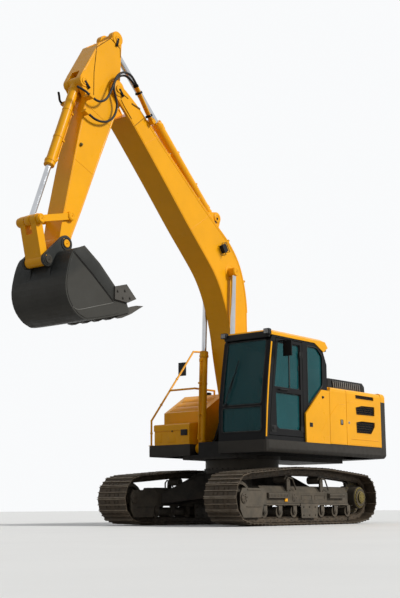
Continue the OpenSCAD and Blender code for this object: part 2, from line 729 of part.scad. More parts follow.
// Radius of a lid's hinge knuckle
knuckle_r = 10;
module engine_hood() {
    color("gold")
        difference() {
            block([hood_x[0], hood_y[0], bay_top + slide_gap], [hood_x[1], hood_y[1], bay_top + hood_h]);
            block([hood_x[0] + 30, hood_y[0] + 30, bay_top - 10],
                  [hood_x[1] - 30, hood_y[1] - 30, bay_top + hood_h - 30]);
        }
    color("gold")
        for (y = [hood_y[0] + 100, hood_y[1] - 200])
            at_xz([hood_x[0] - knuckle_r + 4, bay_top + slide_gap + knuckle_r]) round_y(knuckle_r, y,
                    y + 100);
}
louvre_x = [rear_x + 140, -1040];
louvre_y = [420, 1090];
louvre_h = 195;
louvre_t = 30;
louvre_pitch = 68;
louvre_count = 15;
module louvre_box() {
    color("dimgray")
        difference() {
            plate_xz([[louvre_x[0], bay_top], [louvre_x[1], bay_top],
                      [louvre_x[1], bay_top + louvre_h - 20],
                      [louvre_x[1] - 20, bay_top + louvre_h], [louvre_x[0] + 90, bay_top + louvre_h],
                      [louvre_x[0] + 15, bay_top + louvre_h - 60]],
                     louvre_y[0], louvre_y[1]);
            plate_xz([[louvre_x[0] + louvre_t, bay_top - 10], [louvre_x[1] - louvre_t, bay_top - 10],
                      [louvre_x[1] - louvre_t, bay_top + louvre_h - louvre_t],
                      [louvre_x[0] + 110, bay_top + louvre_h - louvre_t],
                      [louvre_x[0] + 15 + louvre_t, bay_top + louvre_h - 80]],
                     louvre_y[0] + louvre_t, louvre_y[1] - louvre_t);
            // Slanted slots in the outer side
            for (i = [0 : louvre_count - 1])
                translate([louvre_x[0] + 130 + i * louvre_pitch, 0, 0])
                    plate_xz([[0, bay_top + 35], [30, bay_top + 35], [62, bay_top + louvre_h - 35],
                              [32, bay_top + louvre_h - 35]], louvre_y[1] - louvre_t - 5,
                                  louvre_y[1] + 5);
        }
}
module engine() {
    color("gray") block([rear_x + 300, -620, deck_z], [-1100, 200, bay_top - 135]);
}
module exhaust() {
    color("gray")
        translate([rear_x + 400, -1120, bay_top]) {
            cylinder(r = 55, h = 320);
            cylinder(r = 80, h = 30);
        }
}

// Right side: fuel and hydraulic tanks, stepped bonnet and toolbox
box_y = [-1180, -415];
tank_top = 2230;
module tanks() {
    color("gold") {
        plate_xz([[-300, deck_z], [500, deck_z], [500, 1900], [-30, tank_top - 20], [-60, tank_top],
                  [-300, tank_top]],
                 -house_half + 20, -420);
        block([-715, -house_half + 20, deck_z], [-300, -420, tank_top]);
    }
}
box_x = [515, 905];
box_top = 1670;
lid_t = 110;
module toolbox() {
    color("gold")
        difference() {
            block([box_x[0], box_y[0], deck_z], [box_x[1], box_y[1], box_top - lid_t]);
            block([box_x[0] + 30, box_y[0] + 30, deck_z + 40], [box_x[1] - 30, box_y[1] - 30, box_top]);
        }
}
module toolbox_lid() {
    color("gold")
        difference() {
            plate_xz([[box_x[0] + 6, box_top - lid_t + slide_gap],
                      [box_x[1] + 12, box_top - lid_t + slide_gap],
                      [box_x[1] + 12, box_top - 20], [box_x[1] - 10, box_top],
                          [box_x[0] + 6, box_top + 40]],
                     box_y[0] - 8, box_y[1] + 8);
            block([box_x[0] + 40, box_y[0] + 20, box_top - lid_t - 10],
                  [box_x[1] - 20, box_y[1] - 20, box_top - 40]);
        }
    color("gold")
        for (y = [box_y[0] + 80, box_y[1] - 160])
            at_xz([box_x[0] + 2, box_top + 34]) round_y(knuckle_r, y, y + 80);
}
rail_r = 17;
rail_side = -house_half + 65;
module handrails() {
    color("gold") {
        bent_bar([[890, rail_side, deck_z], [890, rail_side, 1750], [400, rail_side, 2310],
                  [30, rail_side, 2730],
                  [-260, rail_side, 3070], [-500, rail_side, 3090], [-500, rail_side, tank_top]],
                      rail_r);
        bent_bar([[400, rail_side, 2310], [400, -700, 2310], [350, -700, 2310], [-150, -700, 2310],
                  [-150, -700, tank_top]], rail_r);
    }
}
module mirrors() {
    color("dimgray")
        block([-75, rail_side - rail_r - 160, 2620], [-45, rail_side - rail_r, 2860]);
}
module lamps() {
    color("dimgray")
        for (y = [cab_inner + 30, cab_side - 35])
            block([roof_front, y - 45, roof_z + 5], [roof_front + 80, y + 45, roof_z + 85]);
}
mirror_x = [720, 745];
module cab_door() {
    color("dimgray") {
        difference() {
            plate_xz(inset_door(door_room), cab_near, cab_side);
            plate_xz(upper_pane, cab_near - 10, cab_side + 60);
            plate_xz(lower_pane, cab_near - 10, cab_side + 60);
        }
        translate([door_rear + door_room + hinge_in, cab_side - hinge_in, door_low + slide_gap])
            cylinder(r = hinge_in, h = 40);
        // Mirror on its bracket
        block([mirror_x[0], cab_side, door_top - 70], [mirror_x[1], cab_side + 130, door_top - 50]);
        block([mirror_x[0], cab_side + 90, door_top - 310],
              [mirror_x[1], cab_side + 250, door_top - 60]);
    }
}
module cab_door_glass() {
    color("lightblue")
        for (p = [upper_pane, lower_pane])
            plate_xz(shrunk(p), cab_near + 20, cab_near + 20 + pane_t);
}

// Boom: lower and upper edge along the pin line, in the boom's own frame (columns: u, v)
boom_low = [[60, -125], [400, -20], [1000, 205], [1500, 415], [2000, 535], [2400, 555], [2800, 490],
            [3400, 365], [4300, 205], [boom_len - 650, 30], [boom_len - 150, -95]];
boom_high = [[-40, 140], [500, 410], [1180, 800], [1560, 1045], [1930, 1205], [2300, 1275], [2680, 1225],
             [3100, 1070], [3600, 890], [4200, 690], [boom_len - 1050, 490], [boom_len - 450, 320],
             [boom_len - 90, 165]];
boom_outline = concat(smooth(boom_low, 4), arc([boom_len, 0], 140, -60, 105, 10),
                      reversed(smooth(boom_high, 4)));
tip = foot + turned([boom_len, 0], boom_deg);
arm_world = boom_deg - arm_deg;
module boom_frame() {
    translate([foot_x, 0, foot_z]) rotate([0, -boom_deg, 0]) children();
}
module arm_frame() {
    boom_frame() translate([boom_len, 0, 0]) rotate([0, arm_deg, 0]) children();
}
module bucket_frame() {
    arm_frame() translate([arm_len, 0, 0]) rotate([0, bucket_deg, 0]) children();
}
boom_eye = [2253, 955];
arm_cyl_base = [3150, 1280];
arm_lug = [-800, 290];
bucket_cyl_base = [320, 620];
rocker_pin = [arm_len - 440, 60];
top_pin = [arm_len - 74, 556];
link_pin = [arm_len + 396, 215];
main_pin_r = 45;
arm_slot = arm_w + 2 * side_gap;
boom_pin_out = boom_cyl_y - rod_eye_w / 2 - side_gap;
arm_eye_w = 2 * arm_cyl_r + 4;
lug_in = arm_eye_w / 2 + side_gap;
module boom() {
    color("gold")
        boom_frame()
            difference() {
                union() {
                    plate_xz(boom_outline, -boom_w / 2, boom_w / 2);
                    round_y(155, -boom_w / 2, boom_w / 2);
                    at_xz(boom_eye) round_y(80, -boom_pin_out, boom_pin_out);
                    // Ears for the arm cylinder's base
                    plate_both(concat([[2850, 1050], [3450, 850]], arc(arm_cyl_base, 100, 20, 160, 10)),
                               lug_in, lug_in + 45);
                    at_xz(arm_cyl_base) round_y(main_pin_r, -lug_in - 45, lug_in + 45);
                    at_xz([boom_len, 0]) round_y(main_pin_r, -boom_w / 2 - 20, boom_w / 2 + 20);
                }
                difference() {
                    // Fork at the tip
                    block([boom_len - 430, -arm_slot / 2, -400], [boom_len + 300, arm_slot / 2, 600]);
                    at_xz([boom_len, 0]) round_y(main_pin_r, -boom_w, boom_w);
                }
                round_y(foot_pin_r + pin_gap, -boom_w, boom_w);
            }
}
// Tube along points in x and z, at distance y from the centre plane, with eight sides
function tube_dir(p, i) = let (a = p[max(i - 1, 0)],
                               b = p[min(i + 1, len(p) - 1)]) (b - a) / norm(b - a);
function tube_points(p, y, r) = [for (i = [0 : len(p) - 1], k = [0 : 7])
    let (d = tube_dir(p, i), c = r * cos(k * 45), s = r * sin(k * 45))
    [p[i][0] - d[1] * c, y + s, p[i][1] + d[0] * c]];
module tube(p, y, r) {
    n = len(p);
    polyhedron(tube_points(p, y, r), concat([[for (k = [7 : -1 : 0]) k]],
                                            [[for (k = [0 : 7]) (n - 1) * 8 + k]],
        [for (i = [0 : n - 2], k = [0 : 7]) [i * 8 + (k + 1) % 8, (i + 1) * 8 + (k + 1) % 8,
                                             (i + 1) * 8 + k,
                                            i * 8 + k]]));
}
// Pipes run along the boom's back, held by clamps; they end in the block where the hoses begin
back = smooth(boom_high, 4);
back_count = len(back);
function back_normal(i) = let (d = back[min(i + 1, back_count - 1)] - back[max(i - 1, 0)]) [-d[1],
        d[0]] / norm(d);
pipe_r = 16;
pipe_lift = 26;
pipe_end = 42;
end_block = 70;
pipe_stops = [for (i = [11 : pipe_end]) back[i] + pipe_lift * back_normal(i)];
module boom_pipes() {
    color("gray")
        boom_frame() {
            for (y = [-194, -157, 157, 194])
                tube(pipe_stops, y, pipe_r);
            for (i = [16, 24, 32, 38], s = [-1, 1])
                from_to(back[i], back[i + 1])
                    block([10, min(s * 125, s * 215), 0], [50, max(s * 125, s * 215), 2 * pipe_lift]);
            from_to(back[pipe_end], back[pipe_end + 1])
                block([0, -310, 0], [end_block, 310, end_block]);
        }
}
module boom_lamp() {
    color("dimgray")
        boom_frame() {
            block([2620, boom_w / 2, 940], [2740, boom_w / 2 + 80, 1040]);
        }
}

// Cylinders: local +X runs from the base pin to the rod's eye
barrel_wall = 14;
collar_out = 8;
gland = 80;
module barrel(length, r, rod_r, pin_r, width) {
    difference() {
        union() {
            round_y(r + 18, -width / 2, width / 2);
            rotate([0, 90, 0]) translate([0, 0, r * 0.7]) cylinder(r = r, h = length - r * 0.7);
            rotate([0, 90, 0]) translate([0, 0, length - 95]) cylinder(r = r + collar_out, h = 95);
        }
        rotate([0, 90, 0]) translate([0, 0, r + 60]) cylinder(r = r - barrel_wall,
                h = length - gland - r - 60);
        rotate([0, 90, 0]) translate([0, 0, length - gland - 20]) cylinder(r = rod_r + pin_gap, h = 200);
        round_y(pin_r + pin_gap, -width, width);
    }
}
module rod(reach, length, r, cylinder_r, width) {
    rotate([0, 90, 0]) translate([0, 0, reach - length]) cylinder(r = r, h = length - 20);
    rotate([0, 90, 0]) translate([0, 0, reach - length])
        cylinder(r = cylinder_r - barrel_wall - pin_gap, h = 50);
    translate([reach, 0, 0]) round_y(cylinder_r + 8, -width / 2, width / 2);
}
boom_eye_at = foot + turned(boom_eye, boom_deg);
boom_cyl_len = norm(boom_eye_at - cyl_foot);
module boom_barrels() {
    color("gold")
        for (s = [-1, 1])
            from_to(cyl_foot, boom_eye_at, s * boom_cyl_y)
                barrel(1630, boom_cyl_r, 42, cyl_pin_r, boom_eye_w);
}
module boom_rods() {
    color("silver")
        for (s = [-1, 1])
            from_to(cyl_foot, boom_eye_at, s * boom_cyl_y)
                rod(boom_cyl_len, 1600, 42, boom_cyl_r, rod_eye_w);
}
arm_cyl_at = foot + turned(arm_cyl_base, boom_deg);
arm_lug_at = tip + turned(arm_lug, arm_world);
arm_cyl_len = norm(arm_lug_at - arm_cyl_at);
module arm_barrel() {
    color("gold")
        from_to(arm_cyl_at, arm_lug_at)
            barrel(1950, arm_cyl_r, 50, main_pin_r, arm_eye_w);
}
module arm_rod() {
    color("silver")
        from_to(arm_cyl_at, arm_lug_at)
            rod(arm_cyl_len, 1900, 50, arm_cyl_r, lug_slot - 2 * side_gap);
}
bucket_cyl_at = tip + turned(bucket_cyl_base, arm_world);
top_pin_at = tip + turned(top_pin, arm_world);
bucket_cyl_len = norm(top_pin_at - bucket_cyl_at);
module bucket_barrel() {
    color("gold")
        from_to(bucket_cyl_at, top_pin_at)
            barrel(1500, bucket_cyl_r, 42, main_pin_r, lug_slot - 2 * side_gap);
}
module bucket_rod() {
    color("silver")
        from_to(bucket_cyl_at, top_pin_at)
            rod(bucket_cyl_len, 1400, 42, bucket_cyl_r, rod_eye_w);
}

// Arm side outline, in the arm's own frame
arm_outline = concat(arc(arm_lug, 120, 215, 60, 10),
    [[-450, 600], [180, 700]], arc(bucket_cyl_base, 95, 95, 10, 6),
    [[500, 500], [850, 435], [1200, 385], [arm_len - 930, 270], [arm_len - 440, 190]],
    arc([arm_len, 0], 118, 115, -100, 10),
    [[arm_len - 180, -95], [arm_len - 650, -115], [1270, -128], [500, -150], [250, -175]],
    arc([0, 0], 175, -100, -170, 6));
lug_slot = 2 * bucket_cyl_r + 16;
module arm() {
    color("gold")
        arm_frame()
            difference() {
                union() {
                    plate_xz(arm_outline, -arm_w / 2, arm_w / 2);
                    at_xz(rocker_pin) round_y(main_pin_r, -arm_w / 2 - 50, arm_w / 2 + 50);
                    at_xz([arm_len, 0]) round_y(main_pin_r, -arm_w / 2 - 60, arm_w / 2 + 60);
                }
                round_y(main_pin_r + pin_gap, -arm_w, arm_w);
                // Slots for the cylinders' eyes
                block([-1000, -lug_slot / 2, 80], [-430, lug_slot / 2, 700]);
                difference() {
                    block([150, -lug_slot / 2, 470], [700, lug_slot / 2, 900]);
                    at_xz(bucket_cyl_base) round_y(main_pin_r, -200, 200);
                }
            }
}
module arm_pipes() {
    color("gray") {
        hose_block(hose_a, hose_y_a);
        hose_block(hose_b, hose_y_b);
    }
}
ear_in = arm_w / 2 + side_gap;
// Rocker arms: bar, bosses at the pins, and how far the top pin stands out
rocker_t = 42;
rocker_bar = 48;
rocker_boss = 72;
pin_out = 12;
module rocker_arms() {
    color("gold")
        arm_frame()
            difference() {
                union() {
                    plate_both(capsule(rocker_pin, rocker_bar, top_pin, rocker_bar), ear_in,
                               ear_in + rocker_t - 6);
                    for (q = [rocker_pin, top_pin], s = [-1, 1])
                        at_xz(q) round_side(rocker_boss, s, ear_in, ear_in + rocker_t);
                    for (s = [-1, 1])
                        at_xz(top_pin) round_side(main_pin_r, s, ear_in, ear_in + rocker_t + pin_out);
                }
                at_xz(rocker_pin) round_y(main_pin_r + pin_gap, -400, 400);
            }
}
// How far the link is open below its upper pin
link_open = 190;
link_bar = 64;
link_boss = 80;
module bucket_link() {
    color("gold")
        arm_frame()
            difference() {
                union() {
                    plate_xz(capsule(top_pin, link_bar, link_pin, link_bar), -arm_w / 2 + 10,
                             arm_w / 2 - 10);
                    for (q = [top_pin, link_pin])
                        at_xz(q) round_y(link_boss, -arm_w / 2, arm_w / 2);
                }
                // Room between the cheeks for the rod's eye, which drifts along the link
                from_to(top_pin, link_pin) block([-200, -62, -200], [link_open, 62, 200]);
                at_xz(link_pin) round_y(main_pin_r + pin_gap, -400, 400);
            }
}
// Bucket shell outline, in the bucket's own frame: back and floor, then the cutting edge
shell_outer = smooth([[0, 130], [-70, 230], [-55, 440], [50, 740], [208, 905], [401, 970], [554, 960],
                      [676, 905],
                      [1000, 610], [1300, 300]], 3);
shell_inner = smooth([[28, 142], [-40, 235], [-25, 432], [75, 722], [222, 880], [401, 942], [550, 932],
                      [660, 882],
                      [980, 590], [1280, 285]], 3);
link_pin_b = turned([link_pin[0] - arm_len, link_pin[1]], bucket_deg);
lip_top = [70, 40];
module bucket() {
    color("dimgray")
        bucket_frame()
            difference() {
                union() {
                    plate_xz(concat(shell_outer, reversed(shell_inner)), -bucket_w / 2, bucket_w / 2);
                    plate_both(concat(shell_outer, [[1170, 200], [860, 150], [440, 62], lip_top]),
                               bucket_w / 2 - shell_t, bucket_w / 2);
                    plate_both(concat(capsule([0, 0], 120, link_pin_b, 95)), ear_in, ear_in + 45);
                    plate_both([[-80, 150], [60, 60], [180, 300], [40, 700], [-60, 500]], ear_in,
                               ear_in + 45);
                    at_xz(link_pin_b) round_y(main_pin_r, -ear_in - 60, ear_in + 60);
                }
                round_y(main_pin_r + pin_gap, -400, 400);
            }
}
tooth_edge = 80;
tooth_pitch = (bucket_w - 2 * tooth_edge) / (bucket_teeth_count - 1);
module bucket_teeth() {
    color("dimgray")
        bucket_frame() {
            for (i = [0 : bucket_teeth_count - 1])
                translate([0, -bucket_w / 2 + tooth_edge + i * tooth_pitch, 0])
                    difference() {
                        plate_xz([[1160, 480], [1240, 440], [1370, 270], [1530, 0], [1400, 90],
                                  [1270, 230], [1150, 370]],
                                 -45, 45);
                        plate_xz(concat(shell_outer, reversed(shell_inner)), -100, 100);
                    }
            for (s = [-1, 1])
                translate([0, s * (bucket_w / 2 + 15), 0])
                    plate_xz([[840, 175], [1020, -5], [1300, 55], [1180, 215], [930, 340]], -15, 15);
        }
}

// Hoses from the block on the boom's back to two blocks on the arm, as tubes along hand-laid points.
// Boom part in the boom's own frame, then points in x and z of the machine
function boom_at(p) = foot + turned(p, boom_deg);
function arm_at(p) = tip + turned(p, arm_world);
end_dir = (back[pipe_end + 1] - back[pipe_end]) / norm(back[pipe_end + 1] - back[pipe_end]);
hose_begin = back[pipe_end] + (end_block + slide_gap) * end_dir + end_block / 2 * [-end_dir[1],
        end_dir[0]];
hose_end_a = [545, 450];
hose_end_b = [800, 400];
hose_start = [boom_at(hose_begin + 30 * end_dir), boom_at([5560, 385]), boom_at([5790, 375])];
hose_a = concat([boom_at(hose_begin)], smooth(concat(hose_start,
    [[3170, 6900], [3290, 6915], [3400, 6880], [3500, 6790], [3570, 6650], [3630, 6520], [3720, 6370],
     [3830, 6290],
     [3930, 6272]], [arm_at(hose_end_a)]), 3));
hose_b = concat([boom_at(hose_begin)], smooth(concat(hose_start,
    [[3180, 6870], [3290, 6880], [3400, 6830], [3500, 6720], [3520, 6600], [3480, 6470], [3450, 6350],
     [3480, 6220],
     [3550, 6110], [3660, 6030], [3800, 5990], [3940, 5995]], [arm_at(hose_end_b)]), 3));
hose_r = 18;
hose_y_a = 288;
hose_y_b = 246;
// Block at a hose's end, square to the hose
module hose_block(p, y) {
    n = len(p);
    d = (p[n - 1] - p[n - 2]) / norm(p[n - 1] - p[n - 2]);
    from_to(p[n - 1] + slide_gap * d, p[n - 1] + d)
        for (s = [-1, 1])
            block([0, min(s * arm_w / 2, s * (y + 24)), -24],
                  [90, max(s * arm_w / 2, s * (y + 24)), 24]);
}
module arm_hoses() {
    color("black")
        for (s = [-1, 1]) {
            tube(hose_a, s * hose_y_a, hose_r);
            tube(hose_b, s * hose_y_b, hose_r);
        }
}

car_body();
slew_ring();
track_frames();
track_left();
track_right();
idlers();
final_drives();
bottom_rollers();
carrier_rollers();
main_frame();
counterweight();
cab_shell();
cab_glass();
cab_roof();
seat();
console();
engine();
side_panels();
top_deck();
louvre_box();
tanks();
toolbox();
handrails();
mirrors();
lamps();
exhaust();
cab_door();
cab_door_glass();
left_door();
rear_left_door();
right_door();
engine_hood();
toolbox_lid();
boom();
boom_pipes();
boom_lamp();
boom_barrels();
boom_rods();
arm();
arm_pipes();
arm_barrel();
arm_rod();
bucket_barrel();
bucket_rod();
rocker_arms();
bucket_link();
bucket();
bucket_teeth();
arm_hoses();
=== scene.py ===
import math

import bmesh
import bpy
from mathutils import Matrix, Vector


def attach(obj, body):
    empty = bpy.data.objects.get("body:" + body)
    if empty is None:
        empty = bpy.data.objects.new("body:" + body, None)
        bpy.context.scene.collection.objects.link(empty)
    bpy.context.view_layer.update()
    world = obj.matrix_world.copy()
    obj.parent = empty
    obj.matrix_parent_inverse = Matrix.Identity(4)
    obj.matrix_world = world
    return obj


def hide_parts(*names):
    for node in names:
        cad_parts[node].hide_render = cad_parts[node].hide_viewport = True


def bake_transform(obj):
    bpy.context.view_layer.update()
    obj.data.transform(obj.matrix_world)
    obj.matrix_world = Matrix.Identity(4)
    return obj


bl_info = {
    "name": "Crawler excavator dressing",
    "version": (1, 0, 0),
    "blender": (4, 5, 0),
    "location": "View3D > Sidebar > Excavator",
    "description": "Paint, glass, hoses and small fittings of a crawler excavator",
    "category": "Object",
}

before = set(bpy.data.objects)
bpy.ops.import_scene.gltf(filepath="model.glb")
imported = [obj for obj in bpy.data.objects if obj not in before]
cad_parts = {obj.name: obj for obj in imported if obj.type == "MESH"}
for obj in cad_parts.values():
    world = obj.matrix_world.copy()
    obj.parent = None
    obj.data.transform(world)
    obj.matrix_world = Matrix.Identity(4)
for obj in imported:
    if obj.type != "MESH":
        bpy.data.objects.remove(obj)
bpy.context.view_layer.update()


# ---------------------------------------------------------------- settings


class PaintSettings(bpy.types.PropertyGroup):
    yellow: bpy.props.FloatVectorProperty(
        name="Yellow", description="Paint of boom, arm, cylinders and bodywork", subtype="COLOR",
        size=3, min=0, max=1, default=(0.90, 0.405, 0.004))
    dark: bpy.props.FloatVectorProperty(
        name="Dark grey", description="Paint of the car body, the frame and the counterweight", subtype="COLOR",
        size=3, min=0, max=1, default=(0.011, 0.0105, 0.010))
    black: bpy.props.FloatVectorProperty(
        name="Cab black", description="Paint of the cab's frame and its door", subtype="COLOR",
        size=3, min=0, max=1, default=(0.0065, 0.0065, 0.0070))
    bucket: bpy.props.FloatVectorProperty(
        name="Bucket grey", description="Paint of the bucket", subtype="COLOR",
        size=3, min=0, max=1, default=(0.025, 0.027, 0.026))
    dust: bpy.props.FloatProperty(
        name="Dust", description="How dusty the undercarriage is", subtype="FACTOR", min=0, max=1, default=0.30)
    under: bpy.props.FloatVectorProperty(
        name="Track frame", description="Dusty paint of the track frames", subtype="COLOR",
        size=3, min=0, max=1, default=(0.052, 0.047, 0.038))


class StageSettings(bpy.types.PropertyGroup):
    floor: bpy.props.FloatVectorProperty(
        name="Floor", description="Colour of the floor", subtype="COLOR", size=3, min=0, max=1,
        default=(0.80, 0.80, 0.79))
    sun: bpy.props.FloatProperty(
        name="Key light", description="Strength of the soft key light", min=0, max=10, default=2.9)
    fill: bpy.props.FloatProperty(
        name="Fill light", description="Strength of the even studio light", min=0, max=2, default=0.4)
    sun_way: bpy.props.FloatVectorProperty(
        name="Key light from", description="Direction from which the key light comes", subtype="DIRECTION", size=3,
        default=(-0.30, 0.78, 0.55))
    sun_width: bpy.props.FloatProperty(
        name="Softness", description="How wide the key light is", subtype="ANGLE", min=0, max=math.radians(90),
        default=math.radians(12))
    lens: bpy.props.FloatProperty(
        name="Lens", description="Focal length", subtype="DISTANCE_CAMERA", min=20, max=200, default=66.1)
    place: bpy.props.FloatVectorProperty(
        name="Camera place", description="Where the camera stands", subtype="TRANSLATION", unit="LENGTH", size=3,
        default=(15.16, 11.202, 0.277))
    yaw: bpy.props.FloatProperty(
        name="Yaw", description="Direction in which the camera looks", subtype="ANGLE", default=math.radians(218.59))
    pitch: bpy.props.FloatProperty(
        name="Pitch", description="How far the camera looks up", subtype="ANGLE", default=math.radians(10.77))
    roll: bpy.props.FloatProperty(
        name="Roll", description="How far the camera leans", subtype="ANGLE", default=math.radians(-0.279))


class TrimSettings(bpy.types.PropertyGroup):
    shoe_bolt: bpy.props.FloatProperty(
        name="Shoe bolt", description="Radius of the track shoes' bolt heads", unit="LENGTH", min=0.005, max=0.03,
        default=0.014)
    bolt: bpy.props.FloatProperty(
        name="Cover bolt", description="Radius of the covers' bolt heads", unit="LENGTH", min=0.004, max=0.03,
        default=0.011)


def settings(name):
    return getattr(bpy.context.scene, name)


# ---------------------------------------------------------------- materials


class Shader:
    """A material with one Principled shader, and short ways to add nodes to it."""

    def __init__(self, name, colour, rough, metal=0.0, **sockets):
        self.mat = bpy.data.materials.new(name)
        self.mat.use_nodes = True
        self.tree = self.mat.node_tree
        self.bsdf = self.tree.nodes["Principled BSDF"]
        self.bsdf.inputs["Base Color"].default_value = (*colour, 1)
        self.bsdf.inputs["Roughness"].default_value = rough
        self.bsdf.inputs["Metallic"].default_value = metal
        for socket, value in sockets.items():
            self.bsdf.inputs[socket.replace("_", " ")].default_value = value
        self.mat.diffuse_color = (*colour, 1)
        self.coord = self.tree.nodes.new("ShaderNodeTexCoord")

    def node(self, kind, links=(), **values):
        n = self.tree.nodes.new(kind)
        for key, value in values.items():
            if key in n.inputs:
                n.inputs[key].default_value = value
            else:
                setattr(n, key, value)
        for socket, source in links:
            self.tree.links.new(source, n.inputs[socket])
        return n

    def noise(self, scale, detail=3.0, rough=0.6, stretch=None):
        source = self.coord.outputs["Object"]
        if stretch:
            source = self.node("ShaderNodeMapping", [("Vector", source)], Scale=stretch).outputs["Vector"]
        n = self.node("ShaderNodeTexNoise", [("Vector", source)], Scale=scale, Detail=detail, Roughness=rough)
        return n.outputs["Fac"]

    def ramp(self, source, low, high, a=0.0, b=1.0):
        return self.node("ShaderNodeMapRange", [("Value", source)], **{
            "From Min": low, "From Max": high, "To Min": a, "To Max": b}).outputs["Result"]

    def math(self, how, a, b):
        n = self.tree.nodes.new("ShaderNodeMath")
        n.operation = how
        for i, v in enumerate((a, b)):
            if isinstance(v, (int, float)):
                n.inputs[i].default_value = v
            else:
                self.tree.links.new(v, n.inputs[i])
        return n.outputs[0]

    def mix(self, factor, a, b):
        n = self.tree.nodes.new("ShaderNodeMix")
        n.data_type = "RGBA"
        self.tree.links.new(factor, n.inputs[0])
        for i, v in ((6, a), (7, b)):
            if isinstance(v, tuple):
                n.inputs[i].default_value = (*v, 1)
            else:
                self.tree.links.new(v, n.inputs[i])
        return n.outputs[2]

    def link(self, source, socket):
        self.tree.links.new(source, self.bsdf.inputs[socket])

    def bump(self, height, strength, distance):
        n = self.node("ShaderNodeBump", [("Height", height)], Strength=strength, Distance=distance)
        self.link(n.outputs["Normal"], "Normal")

    def edge(self, low=0.52, high=0.60):
        """1 where an edge stands out, as far as the mesh shows it."""
        g = self.tree.nodes.new("ShaderNodeNewGeometry")
        return self.ramp(g.outputs["Pointiness"], low, high)

    def height(self, low, high):
        """1 at the height low, 0 at the height high, in the object's own frame."""
        xyz = self.node("ShaderNodeSeparateXYZ", [("Vector", self.coord.outputs["Object"])])
        return self.ramp(xyz.outputs["Z"], high, low)


def scaled(colour, k):
    return tuple(min(1.0, c * k) for c in colour)


def gloss_paint(name, colour, rough=0.32, grime=(0.35, 0.24, 0.12), gloss=0.15):
    s = Shader(name, colour, rough, Coat_Weight=gloss / 3, Coat_Roughness=0.12, Specular_IOR_Level=gloss)
    cloud = s.noise(1.3, 4)
    c = s.mix(s.ramp(cloud, 0.35, 0.7), scaled(colour, 0.93), scaled(colour, 1.04))
    streak = s.noise(5.0, 5, 0.7, (1.0, 1.0, 0.15))
    c = s.mix(s.ramp(streak, 0.62, 0.80, 0.0, 0.10), c, grime)
    s.link(c, "Base Color")
    s.link(s.ramp(s.noise(9.0, 4), 0.3, 0.75, rough - 0.06, rough + 0.10), "Roughness")
    s.bump(s.noise(160.0, 2), 0.06, 0.002)
    return s.mat


def dusty_paint(name, colour, dust, rough=0.5):
    s = Shader(name, colour, rough, Specular_IOR_Level=0.10)
    cloud = s.noise(2.2, 5, 0.65)
    c = s.mix(s.ramp(cloud, 0.3, 0.75), scaled(colour, 0.8), scaled(colour, 1.35))
    low = s.math("MULTIPLY", s.height(0.0, 1.25), s.ramp(s.noise(6.0, 6, 0.7), 0.35, 0.65, 0.15, 1.0))
    c = s.mix(s.math("MULTIPLY", low, dust), c, (0.33, 0.25, 0.17))
    c = s.mix(s.math("MULTIPLY", s.edge(), 0.16), c, (0.20, 0.18, 0.15))
    s.link(c, "Base Color")
    s.link(s.ramp(s.noise(14.0, 4), 0.3, 0.7, rough - 0.08, rough + 0.18), "Roughness")
    s.bump(s.noise(90.0, 3), 0.12, 0.003)
    return s.mat


def track_steel(name, colour):
    s = Shader(name, colour, 0.5, 0.05, Specular_IOR_Level=0.12)
    rub = s.noise(9.0, 6, 0.7)
    c = s.mix(s.ramp(rub, 0.40, 0.75), scaled(colour, 0.55), (0.082, 0.056, 0.034))
    c = s.mix(s.math("MULTIPLY", s.edge(0.53, 0.62), 0.25), c, (0.30, 0.245, 0.185))
    s.link(c, "Base Color")
    s.link(s.ramp(s.noise(24.0, 4), 0.3, 0.7, 0.34, 0.70), "Roughness")
    s.bump(s.noise(70.0, 5), 0.25, 0.004)
    return s.mat


def bare_steel(name, colour, rough):
    s = Shader(name, colour, rough, 1.0)
    s.link(s.mix(s.ramp(s.noise(4.0, 4), 0.3, 0.7), scaled(colour, 0.82), scaled(colour, 1.1)), "Base Color")
    s.link(s.ramp(s.noise(60.0, 3), 0.3, 0.7, rough - 0.07, rough + 0.1), "Roughness")
    s.bump(s.noise(120.0, 3, 0.5), 0.08, 0.001)
    return s.mat


def chrome(name):
    s = Shader(name, (0.52, 0.53, 0.55), 0.10, 1.0)
    s.link(s.mix(s.ramp(s.noise(3.0, 4), 0.35, 0.7), (0.48, 0.49, 0.51), (0.57, 0.58, 0.60)), "Base Color")
    s.link(s.ramp(s.noise(11.0, 4), 0.35, 0.7, 0.05, 0.14), "Roughness")
    s.bump(s.noise(240.0, 1), 0.01, 0.0005)
    return s.mat


def moulded(name, colour, rough=0.55):
    s = Shader(name, colour, rough, Specular_IOR_Level=0.2)
    s.link(s.mix(s.ramp(s.noise(5.0, 4), 0.3, 0.7), scaled(colour, 0.85), scaled(colour, 1.25)), "Base Color")
    s.link(s.ramp(s.noise(12.0, 4), 0.3, 0.7, rough - 0.06, rough + 0.12), "Roughness")
    s.bump(s.noise(420.0, 2), 0.15, 0.001)
    return s.mat


def rubber(name, colour):
    s = Shader(name, colour, 0.5, Sheen_Weight=0.05, Specular_IOR_Level=0.2)
    s.link(s.mix(s.ramp(s.noise(9.0, 5), 0.35, 0.7), scaled(colour, 0.8), (0.032, 0.029, 0.026)), "Base Color")
    s.link(s.ramp(s.noise(30.0, 3), 0.3, 0.7, 0.42, 0.62), "Roughness")
    s.bump(s.noise(300.0, 2), 0.12, 0.001)
    return s.mat


